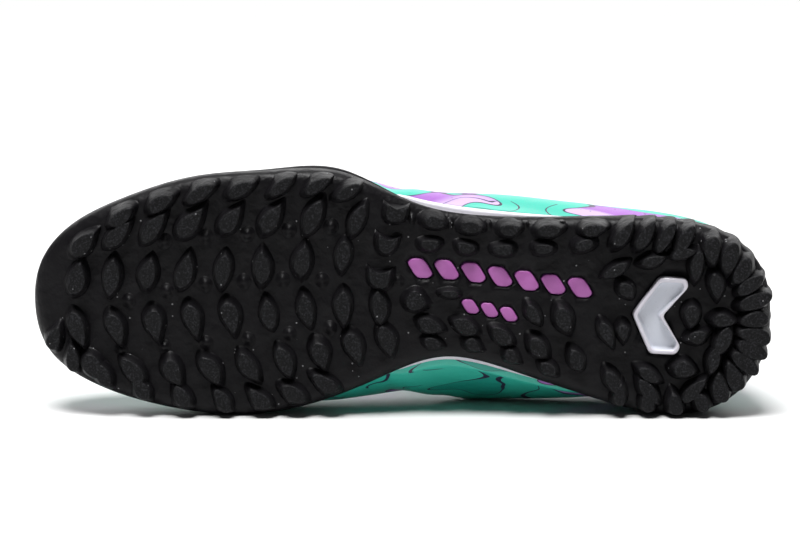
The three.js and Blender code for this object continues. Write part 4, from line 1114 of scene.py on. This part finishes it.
def inlayOutline(along, across, size, margin):
    half = inlaySizes["block"] * size / 2 + margin
    slant, cut = half * inlaySizes["slant"], half * inlaySizes["cut"]
    upper = np.array([(half + slant, half - cut), (half + slant - cut, half), (cut + slant - half, half),
                      (slant - half, half - cut)])
    corners = placeOnSole(along, across) + np.concatenate([upper, -upper])
    return roundedOutline(corners, inlaySizes["round"], inlaySizes["steps"])


def inlayPlaces():
    for start, end, count, first, last, size in inlaySizes["rows"]:
        for i in range(count):
            t = i / (count - 1)
            yield blendOf(start, end, t), blendOf(first, last, t), size


def inlayBlocks():
    blocks = []
    for block in inlayPlaces():
        plans = [inlayOutline(*block, margin) for margin, _, _ in inlayRings]
        layers = [(plan, baseAt(plan[:, 0]) + ring[1]) for plan, ring in zip(plans, inlayRings)]
        # painted shade on the walls sunk in the pocket, none on the face
        tones = {"deep": [ring[-1] for ring in inlayRings]}
        blocks.append(stackOutlines("block", layers, [inlayRubber], tones))
    return joined("waistInlay", blocks)


def pocketCutter():
    plans = [windowOutline(pocket["window"])]
    plans += [inlayOutline(*block, pocket["block"]) for block in inlayPlaces()]
    cutters = []
    for plan in plans:
        level = baseAt(plan[:, 0])
        layers = [(plan, level - pocket["proud"]), (plan, level + pocket["deep"])]
        cutters.append(stackOutlines("cutter", layers, []))
    return joined("cutters", cutters)


outsoleShell = outsoleBody()
cutWith(outsoleShell, pocketCutter())
outsolePiece = joined("turfOutsole", [outsoleShell, studsMesh(), pipsMesh()])
print("outsole made")
windowPiece = heelWindow()
inlayPiece = inlayBlocks()
print("window and inlay made")


# midsole and insole

midsoleParts = {"around": 260, "spineShares": (0, 0.3, 0.6, 0.85),
                "sideShares": (0.04, 0.1, 0.16, 0.18, 0.4, 0.65, 0.9),
                "skinFrom": 0.17, "swell": 0.5, "skinSwell": 0.3, "rounded": 0.1}
insoleParts = {"around": 220, "spineShares": (0, 0.2, 0.4, 0.6, 0.75, 0.88), "lowShares": (0, 0.4, 0.8),
               "flat": 9}
insoleEdge = ((0.0, 0.85), (0.25, 0.97), (0.8, 1.0))  # inset, share of the way up
insoleCupRings = ((1.6, 0.75), (2.6, 0.5), (4.2, 0.22), (6.5, 0.06))  # inset, share of the cup's height


def overCupFloor(x, at):
    return floorAt(x) + sole["gap"]


def foamBrim(x, at):
    return np.minimum(rimTop(at) + sole["gap"] * 2, bedAt(x) - sole["gap"])


def overBed(x, at):
    return bedAt(x)


def midsole():
    at = roundThe(midsoleParts["around"])
    shares = midsoleParts["spineShares"]
    rounded, swell = midsoleParts["rounded"], midsoleParts["swell"]
    flare = flareAt(at)
    inCup = sole["rimWall"] + sole["gap"] * 1.5
    edge = blendOf(inCup, np.minimum(tuckIn(at), inCup), flare)
    arch = (at % stations > toeStation) * flare  # there the skin comes down over the foam
    bottom = ringAt(at, inCup, overCupFloor)
    rings = closingRings(bottom, at, shares, overCupFloor) + [bottom, ringAt(at, inCup, foamBrim)]
    foamRows = len(rings)
    rings.append(ringAt(at, blendOf(inCup, edge, 0.8 - 0.2 * arch), foamBrim))
    rings.append(ringAt(at, edge + rounded * flare, lambda x, a: foamBrim(x, a) + rounded * flareAt(a)))
    for share in midsoleParts["sideShares"]:
        out = swell * math.sin(math.pi * share) * flare
        out = out + midsoleParts["skinSwell"] * arch * (share > midsoleParts["skinFrom"])
        rings.append(ringAt(at, edge - out, lambda x, a: blendOf(foamBrim(x, a), bedAt(x), share)))
    skinRows = len(rings)
    top = ringAt(at, edge + swell * flare - swell * arch, overBed)
    rings += [top] + closingRings(top, at, shares[::-1], overBed)
    slots = np.zeros((len(rings) - 1, len(at)), int)
    slots[foamRows:skinRows, arch > 0.05] = 1
    vertices = np.concatenate(rings)
    return meshObject("foamMidsole", vertices, stackFaces(len(rings), len(at)), [foam, skin], slots.ravel(),
                      uv=vertices[:, (0, 2)])


def insoleTop(x, cupShare=0):
    cup = sole["insoleCup"] * (1 - easeBetween(x / sole["length"], 0.15, 0.5))
    return bedAt(x) + sole["gap"] + sole["insole"] + cup * cupShare


def underInsole(x, at):
    return bedAt(x) + sole["gap"]


def insole():
    at = roundThe(insoleParts["around"])
    inset = footInset(at) + lastSizes["wall"] + sole["gap"] * 5
    bottom = ringAt(at, inset, underInsole)
    rings = closingRings(bottom, at, insoleParts["lowShares"], underInsole) + [bottom]
    for over, share in insoleEdge:
        rings.append(ringAt(at, inset + over, lambda x, a: blendOf(
            underInsole(x, a), insoleTop(x, 1), share)))
    for over, share in insoleCupRings:
        rings.append(ringAt(at, inset + over, lambda x, a: insoleTop(x, share)))
    inner = ringAt(at, inset + insoleParts["flat"], lambda x, a: insoleTop(x))
    rings += [inner] + closingRings(inner, at, insoleParts["spineShares"][::-1], lambda x, a: insoleTop(x))
    vertices = np.concatenate(rings)
    return meshObject("footbed", vertices, stackFaces(len(rings), len(at)), [insoleCloth], uv=vertices[:, :2])


midsolePiece = midsole()
insolePiece = insole()
print("midsole and insole made")


# upper

upperSizes = {"around": 340, "levels": 56, "stayLevels": (0.79, 0.85, 9), "innerLevels": 30,
              "roundLength": 640, "lipAngles": (30, 60, 90, 120, 150), "lip": 0.9, "eyeletInset": 8,
              "eyeletRadius": 2,
              "eyeletCorners": 20, "drillReach": 6, "eyeletSteps": (1.9, 3.0, 4.1, 5.2, 6.2)}


def eyeletPlaces():
    for stepBack in upperSizes["eyeletSteps"]:
        for at in (toeStation - stepBack, toeStation + stepBack):
            yield at, upBelowTop(at, upperSizes["eyeletInset"])


def outerPoint(at, up):
    lift = stayRaise(at, up) + foldsAt(at, up)
    return wallPoint(at, up) + wallNormal(at, up) * lift[..., None]


def innerPoint(at, up):
    sink = wallThickness(at, up) - foldsAt(at, up)
    return wallPoint(at, up) - wallNormal(at, up) * sink[..., None]


def upperShell():
    at = roundThe(upperSizes["around"])
    levels = np.linspace(0, 1, upperSizes["levels"])
    levels = np.unique(np.concatenate([levels, np.linspace(*upperSizes["stayLevels"])]))
    outer = [outerPoint(at, np.full(at.shape, up)) for up in levels]
    inner = [innerPoint(at, np.full(at.shape, up)) for up in np.linspace(1, 0, upperSizes["innerLevels"])]
    middle = (outer[-1] + inner[0]) / 2
    reach = np.linalg.norm(outer[-1] - inner[0], axis=1)[:, None] / 2
    climb = unit(outer[-1] - outer[-3]) * reach * upperSizes["lip"]
    lip = [middle + (outer[-1] - middle) * math.cos(turn) + climb * math.sin(turn)
           for turn in np.radians(upperSizes["lipAngles"])]
    rings = outer + lip + inner
    walked = walkedAlong(np.array(rings)[:, 40])
    roundWay = np.linspace(0, upperSizes["roundLength"], len(at), endpoint=False)
    uv = np.stack(np.broadcast_arrays(roundWay[None, :], walked[:, None]), -1).reshape(-1, 2)
    slots = np.repeat([0] * (len(outer) + 2) + [1] * (len(lip) + len(inner) - 2), len(at))
    faces = stackFaces(len(rings), len(at), wrap=True)
    return meshObject("knitUpper", np.concatenate(rings), faces, [skin, lining], slots, uv)


def eyeletCutter():
    count, reach = upperSizes["eyeletCorners"], upperSizes["drillReach"]
    turn = np.linspace(0, 2 * math.pi, count, endpoint=False)
    cutters = []
    for at, up in eyeletPlaces():
        centre, normal = wallPoint(at, up), wallNormal(at, up)
        side = unit(np.cross(normal, [0, 0, 1]))
        circle = np.outer(np.cos(turn), side) + np.outer(np.sin(turn), np.cross(normal, side))
        rings = [centre + circle * upperSizes["eyeletRadius"] + normal * far for far in (-reach, reach)]
        faces = stackFaces(2, count) + endFaces(2, count)
        cutters.append(meshObject("drill", np.concatenate(rings), faces, []))
    return joined("drills", cutters)


upperPiece = upperShell()
cutWith(upperPiece, eyeletCutter())
upperPiece.data.shade_smooth()
print("upper made")


# tongue

tongueSizes = {
    "thick": 3.0, "crown": 2.2, "standsOut": 20, "reach": 15, "rows": 34, "freeRows": 16, "sideSteps": 7,
    "middleSteps": 11, "from": 0.9, "to": 6.4, "sinkFrom": 4.6, "sinkTo": 6.2, "crownTo": 4,
    "narrower": 0.14, "roundEnd": 0.2, "cornerDrop": 0.3, "flatter": 0.35, "lift": 0.2, "settle": 0.3}


def tongueSide(at, stepBack):
    points = []
    sink = float(easeBetween(stepBack, tongueSizes["sinkFrom"], tongueSizes["sinkTo"]))
    for distance in np.linspace(tongueSizes["reach"], 0, tongueSizes["sideSteps"]):
        up = upBelowTop(at, distance)
        depth = float(wallThickness(at, up)) + sole["gap"] * 2.7 + tongueSizes["thick"] * sink
        points.append(wallPoint(at, up) - wallNormal(at, up) * depth)
    return np.array(points)


def tongueAcross(stepBack):
    little, big = (tongueSide(toeStation + way * stepBack, stepBack) for way in (-1, 1))
    t = np.linspace(0, 1, tongueSizes["middleSteps"] + 2)[1:-1]
    middle = blendOf(little[-1], big[-1], t[:, None])
    crown = tongueSizes["crown"] * float(easeBetween(stepBack, 0, tongueSizes["crownTo"]))
    middle[:, 2] += crown * 4 * t * (1 - t)
    return np.concatenate([little, middle, big[::-1]])


def tongueTopRows():
    steps = np.linspace(tongueSizes["from"], tongueSizes["to"], tongueSizes["rows"])
    rows = [tongueAcross(stepBack) for stepBack in steps]
    last = rows[-1]
    centre = len(last) // 2
    run = unit(last[centre] - rows[-4][centre])
    middle = last[centre]
    corner = np.abs(np.linspace(-1, 1, len(last)))[:, None] ** 3
    # the end that stands out over the collar
    for share in np.linspace(0, 1, tongueSizes["freeRows"] + 1)[1:]:
        row = last.copy()
        narrow = 1 - tongueSizes["narrower"] * share - tongueSizes["roundEnd"] * share ** 6
        row[:, 1] = blendOf(middle[1], row[:, 1], narrow)
        row[:, 2] = blendOf(row[:, 2], middle[2], share * tongueSizes["flatter"])
        row += run * tongueSizes["standsOut"] * (share - tongueSizes["cornerDrop"] * corner * share ** 2)
        row[:, 2] += tongueSizes["standsOut"] * tongueSizes["lift"] * share ** 1.6
        rows.append(row)
    return np.array(rows)


def tongue():
    top = tongueTopRows()
    rowCount, half = top.shape[:2]
    normal = unit(np.cross(np.gradient(top, axis=1), np.gradient(top, axis=0)))
    normal *= np.sign(normal[:, half // 2, None, 2:3])  # all of a row faces up
    edge = np.abs(np.linspace(-1, 1, half))
    end = np.clip((rowCount - 1 - np.arange(rowCount)) / 3, 0, 1)
    thin = np.sqrt(np.clip(1 - edge ** 10, 0, 1)) * 0.75 + 0.25
    thick = tongueSizes["thick"] * thin[None] * (0.45 + 0.55 * np.sqrt(end))[:, None]
    bottom = top - normal * thick[..., None]
    settle = normal * (tongueSizes["thick"] - thick)[..., None] * tongueSizes["settle"]
    top, bottom = top - settle, bottom - settle
    loops = np.concatenate([top, bottom[:, ::-1]], 1)
    count = loops.shape[1]
    faces = stackFaces(rowCount, count)
    for row in (0, rowCount - 1):
        for j in range(half - 1):
            face = [row * count + v for v in (j, j + 1, count - 2 - j, count - 1 - j)]
            faces.append(face if row else face[::-1])
    vertices = loops.reshape(-1, 3)
    return meshObject("knitTongue", vertices, faces, [tongueKnit], uv=vertices[:, :2]), top, normal


tonguePiece, tongueTop, tongueNormal = tongue()
print("tongue made")


# lace

laceSizes = {"wide": 6.0, "thick": 1.3, "lift": 1.6, "points": 44, "corners": 18, "over": (-0.3, 0.75),
             "dives": (-4.2, -2.6, -1.0, -0.1), "narrow": [0.5, 0.52, 0.6, 0.78, 0.95, 1, 1]}
# share of the way across, side, and how far below the top in eyelet insets
laceRest = ((0.03, -1, 0.8), (0.11, -1, 0.5), (0.22, -1, 0))


def smoothPath(points, count):  # a smooth line through points
    points = np.asarray(points, float)
    padded = np.concatenate([[2 * points[0] - points[1]], points, [2 * points[-1] - points[-2]]])
    found = []
    for place in np.linspace(0, len(points) - 1, count):
        i = min(int(place), len(points) - 2)
        t = place - i
        a, b, c, d = padded[i:i + 4]
        curve = (2 * a - 5 * b + 4 * c - d) * t ** 2 + (3 * b - a - 3 * c + d) * t ** 3
        found.append(0.5 * (2 * b + (c - a) * t + curve))
    return np.array(found)


def onStay(start, end, hand, across, side, below, extra=0.0):  # a place and its normal on the eyestay
    at = toeStation + side * hand * blendOf(start, end, across)
    up = upBelowTop(at, upperSizes["eyeletInset"] * below)
    normal = wallNormal(at, up)
    lift = float(stayRaise(at, up)) + laceSizes["thick"] / 2 + sole["gap"] * 1.2 + extra
    return wallPoint(at, up) + normal * lift, normal


def laceBand(start, end, hand, over):
    rises = [onStay(start, end, hand, 0, -1, 1.0, extra) for extra in laceSizes["dives"]]
    rises += [onStay(start, end, hand, *place) for place in laceRest]
    falls = [onStay(start, end, hand, 1 - across, 1, below) for across, _, below in laceRest[::-1]]
    falls += [onStay(start, end, hand, 1, 1, 1.0, extra) for extra in laceSizes["dives"][::-1]]
    (before, tilt), (after, otherTilt) = rises[-1], falls[0]
    upwards = unit(tilt + otherTilt)
    middle = (before + after) / 2 + upwards * (laceSizes["lift"] + over)
    points, normals = zip(*rises, (middle, upwards), *falls)
    widths = np.array(laceSizes["narrow"] + [1] + laceSizes["narrow"][::-1])[:, None]
    count = laceSizes["points"]
    facing = unit(smoothPath(normals, count))
    return ribbon(smoothPath(points, count), facing, smoothPath(widths, count)[:, 0])


def ribbon(path, facing, width):
    along = unit(np.gradient(path, axis=0))
    side = unit(np.cross(along, facing))
    lift = np.cross(side, along)
    count = laceSizes["corners"]
    turn = np.linspace(0, 2 * math.pi, count, endpoint=False)
    flat = np.sign(np.cos(turn)) * np.abs(np.cos(turn)) ** 0.7 * laceSizes["wide"] / 2
    tall = np.sign(np.sin(turn)) * np.abs(np.sin(turn)) ** 0.8 * laceSizes["thick"] / 2
    rings = [path[i] + np.outer(flat * width[i], side[i]) + np.outer(tall / max(width[i], 0.7), lift[i])
             for i in range(len(path))]
    faces = stackFaces(len(path), count) + endFaces(len(path), count)
    uv = np.stack(np.broadcast_arrays(walkedAlong(path)[:, None], flat[None, :]), -1).reshape(-1, 2)
    return meshObject("band", np.concatenate(rings), faces, [laceWeave], uv=uv)


def lace():
    steps = upperSizes["eyeletSteps"]
    under, over = laceSizes["over"]
    bands = [laceBand(steps[0], steps[0], 1, 0)]
    for i in range(len(steps) - 1):
        raised = over if i % 2 else under
        bands.append(laceBand(steps[i], steps[i + 1], 1, raised))
        bands.append(laceBand(steps[i], steps[i + 1], -1, 0.45 - raised))
    return joined("flatLace", bands)


lacePiece = lace()
print("lace made")


# stitches and eyelet rims, made along lines and at points with geometry nodes

stitchSizes = {"Spacing": 0.0026, "Length": 0.0019, "Thickness": 0.00042}  # in metres, as the tree takes them
rimSizes = {"Radius": 0.0024, "Bead": 0.00045}
seamPlaces = {"throatInset": 2.6, "throatReach": 6.1, "stayUp": 0.858, "stayReach": 6.2, "collarInset": 5.5,
              "collarFrom": 7.2, "heelAside": 0.07, "heelFrom": 0.12, "heelTo": 0.93, "points": 150,
              "heelPoints": 40, "lift": 0.12, "tongueLift": 0.1, "tongueInset": 3}


def realCopies(tree, points, shape, facing, material):
    copies = node(tree, "GeometryNodeInstanceOnPoints", {
        "Points": points, "Instance": shape, "Rotation": facing})
    real = node(tree, "GeometryNodeRealizeInstances", {0: copies.outputs[0]})
    smooth = node(tree, "GeometryNodeSetShadeSmooth", {0: real.outputs[0]})
    return node(tree, "GeometryNodeSetMaterial", {"Geometry": smooth.outputs[0], "Material": material})


def buildStitches(tree, given):  # a flat bead of thread at each step along a line
    line = node(tree, "GeometryNodeMeshToCurve", {0: given["Geometry"]})
    spaced = node(tree, "GeometryNodeResampleCurve", {"Curve": line.outputs[0], "Length": given["Spacing"]},
                  mode="LENGTH")
    thread = node(tree, "GeometryNodeMeshUVSphere", {"Segments": 8, "Rings": 6, "Radius": 0.5})
    size = node(tree, "ShaderNodeCombineXYZ", {
        0: given["Length"], 1: given["Thickness"], 2: given["Thickness"]})
    shaped = node(tree, "GeometryNodeTransform", {"Geometry": thread.outputs[0], "Scale": size.outputs[0]})
    tangent = node(tree, "GeometryNodeInputTangent")
    facing = node(tree, "FunctionNodeAlignRotationToVector", {"Vector": tangent.outputs[0]}, axis="X")
    made = realCopies(tree, spaced.outputs[0], shaped.outputs[0], facing.outputs[0], threadLook)
    return {"Geometry": made.outputs[0]}


def buildRims(tree, given):  # a round bead at each point, turned to the point's own direction
    circle = node(tree, "GeometryNodeCurvePrimitiveCircle", {"Resolution": 28, "Radius": given["Radius"]})
    bead = node(tree, "GeometryNodeCurvePrimitiveCircle", {"Resolution": 10, "Radius": given["Bead"]})
    ring = node(tree, "GeometryNodeCurveToMesh", {0: circle.outputs[0], 1: bead.outputs[0]})
    facing = node(tree, "GeometryNodeInputNamedAttribute", {"Name": "facing"}, data_type="FLOAT_VECTOR")
    turned = node(tree, "FunctionNodeAlignRotationToVector", {"Vector": facing.outputs[0]}, axis="Z")
    points = node(tree, "GeometryNodeMeshToPoints", {0: given["Geometry"]})
    made = realCopies(tree, points.outputs[0], ring.outputs[0], turned.outputs[0], eyeletLook)
    return {"Geometry": made.outputs[0]}


def madeWith(piece, name, build, sizes):
    inputs = {"Geometry": "geometry", **dict.fromkeys(sizes, "value")}
    tree = groupOf(name, inputs, {"Geometry": "geometry"}, build, "GeometryNodeTree")
    modifier = piece.modifiers.new("made", "NODES")
    modifier.node_group = tree
    for item in tree.interface.items_tree:
        if item.in_out == "INPUT" and item.name in sizes:
            modifier[item.identifier] = sizes[item.name]
    return evaluated(piece)


def linesObject(name, lines):
    vertices, edges = [], []
    for line in lines:
        first = len(vertices)
        vertices += list(line)
        edges += [(first + i, first + i + 1) for i in range(len(line) - 1)]
    mesh = bpy.data.meshes.new(name)
    mesh.from_pydata(layDown(vertices).tolist(), edges, [])
    return linked(name, mesh)


def onSkin(places):
    at, up = np.array(places, float).T
    return outerPoint(at, up) + wallNormal(at, up) * seamPlaces["lift"]


def seamLines():
    places = seamPlaces
    count = places["points"]
    throatLine = np.linspace(toeStation - places["throatReach"], toeStation + places["throatReach"], count)
    stayLine = np.linspace(toeStation - places["stayReach"], toeStation + places["stayReach"], count)
    collarFrom = places["collarFrom"]
    collarLine = np.linspace(toeStation + collarFrom, toeStation + stations - collarFrom, count)
    heelLine = np.linspace(places["heelFrom"], places["heelTo"], places["heelPoints"])
    lines = [[(at, upBelowTop(at, places["throatInset"])) for at in throatLine],
             [(at, places["stayUp"]) for at in stayLine],
             [(at, upBelowTop(at, places["collarInset"])) for at in collarLine]]
    for aside in (-places["heelAside"], places["heelAside"]):
        lines.append([(stations + aside, up) for up in heelLine])
    return [onSkin(line) for line in lines]


def tongueLines():
    inset = seamPlaces["tongueInset"]
    raised = tongueTop + tongueNormal * seamPlaces["tongueLift"]
    return [raised[4:-inset, 2], raised[4:-inset, -3], raised[-inset - 1, 2:-2]]


def eyeletRims():
    centres, facings = [], []
    for at, up in eyeletPlaces():
        normal = wallNormal(at, up)
        centres.append(wallPoint(at, up) + normal * (float(stayRaise(at, up)) + 0.05))
        facings.append(normal)
    piece = linesObject("eyeletRims", [centres])
    directions = layDown(facings) - layDown(np.zeros((1, 3)))
    attribute = piece.data.attributes.new("facing", "FLOAT_VECTOR", "POINT")
    attribute.data.foreach_set("vector", unit(directions).ravel())
    return madeWith(piece, "rims at points", buildRims, rimSizes)


stitchPiece, tongueStitchPiece = (
    madeWith(linesObject(name, seams), "stitches along lines", buildStitches, stitchSizes)
    for name, seams in (("seamStitches", seamLines()), ("tongueStitches", tongueLines())))
rimPiece = eyeletRims()
print("stitches and eyelet rims made")
# what each piece stands for

for piece, nodes, slot in (
        (outsolePiece, ("outsole",), "outsole_rubber"), (windowPiece, ("heel_window",), "window_film"),
        (inlayPiece, ("waist_inlay",), "inlay_rubber"), (midsolePiece, ("midsole",), "midsole_foam"),
        (insolePiece, ("insole",), "insole_cloth"), (upperPiece, ("upper",), "upper_skin"),
        (tonguePiece, ("tongue",), "tongue_knit"), (lacePiece, ("lace",), "lace_weave"),
        (stitchPiece, (), "upper_skin"), (tongueStitchPiece, (), "tongue_knit"),
        (rimPiece, (), "upper_skin")):
    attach(piece, "root")
    if nodes:
        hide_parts(*nodes)


# floor, lights and camera

stageLook = {"floor": (0.63, 0.63, 0.63), "floorHalf": 6, "world": 0.07, "sun": 5.7, "sunSpread": 30,
             "sunTilt": 11.5, "sunTurn": -6, "back": 18, "side": 0.6, "aim": (0, 0, 0.04)}
view = {"lens": 150, "sensor": 36, "elevation": 8.9, "span": 0.306, "farther": 0.04,
        "aim": (-0.0007, 0.0, 0.0516)}


def makeFloor():
    half = stageLook["floorHalf"]
    corners = [(-half, -half, 0), (half, -half, 0), (half, half, 0), (-half, half, 0)]
    mesh = bpy.data.meshes.new("floor")
    mesh.from_pydata(corners, [], [(0, 1, 2, 3)])
    mesh.materials.append(newMaterial("pale floor", stageLook["floor"], 0.55)[0])
    linked("floor", mesh)


def makeLight(name, place, size, power):
    light = bpy.data.lights.new(name, "AREA")
    light.shape = "RECTANGLE"
    light.size, light.size_y = size
    light.energy = power
    lamp = linked(name, light)
    lamp.location = place
    lamp.rotation_euler = (Vector(stageLook["aim"]) - Vector(place)).to_track_quat("-Z", "Y").to_euler()


def makeSun():  # broad soft light from above, a little behind the shoe
    light = bpy.data.lights.new("overhead", "SUN")
    light.energy = stageLook["sun"]
    light.angle = math.radians(stageLook["sunSpread"])
    linked("overhead", light).rotation_euler = (
        math.radians(stageLook["sunTilt"]), math.radians(stageLook["sunTurn"]), 0)


def makeWorld():
    world = bpy.data.worlds.new("studio")
    world.use_nodes = True
    back = world.node_tree.nodes["Background"]
    back.inputs[0].default_value = (1, 1, 1, 1)
    back.inputs[1].default_value = stageLook["world"]
    scene.world = world


def makeCamera():  # far off with a long lens, level with the photo's view of the sole
    camera = bpy.data.cameras.new("camera")
    camera.lens = view["lens"]
    camera.sensor_width = view["sensor"]
    holder = linked("camera", camera)
    distance = view["span"] * view["lens"] / view["sensor"] + view["farther"]
    elevation = math.radians(view["elevation"])
    away = Vector((0, -math.cos(elevation), math.sin(elevation)))
    holder.location = Vector(view["aim"]) + away * distance
    holder.rotation_euler = (-away).to_track_quat("-Z", "Y").to_euler()
    scene.camera = holder


scene.view_settings.view_transform = "Standard"
makeFloor()
makeWorld()
makeSun()
makeLight("back softbox", (0, 1.3, 0.8), (2.6, 1.0), stageLook["back"])
makeLight("side softbox", (1.2, -0.4, 0.8), (0.6, 0.9), stageLook["side"])
makeCamera()
print("stage made")
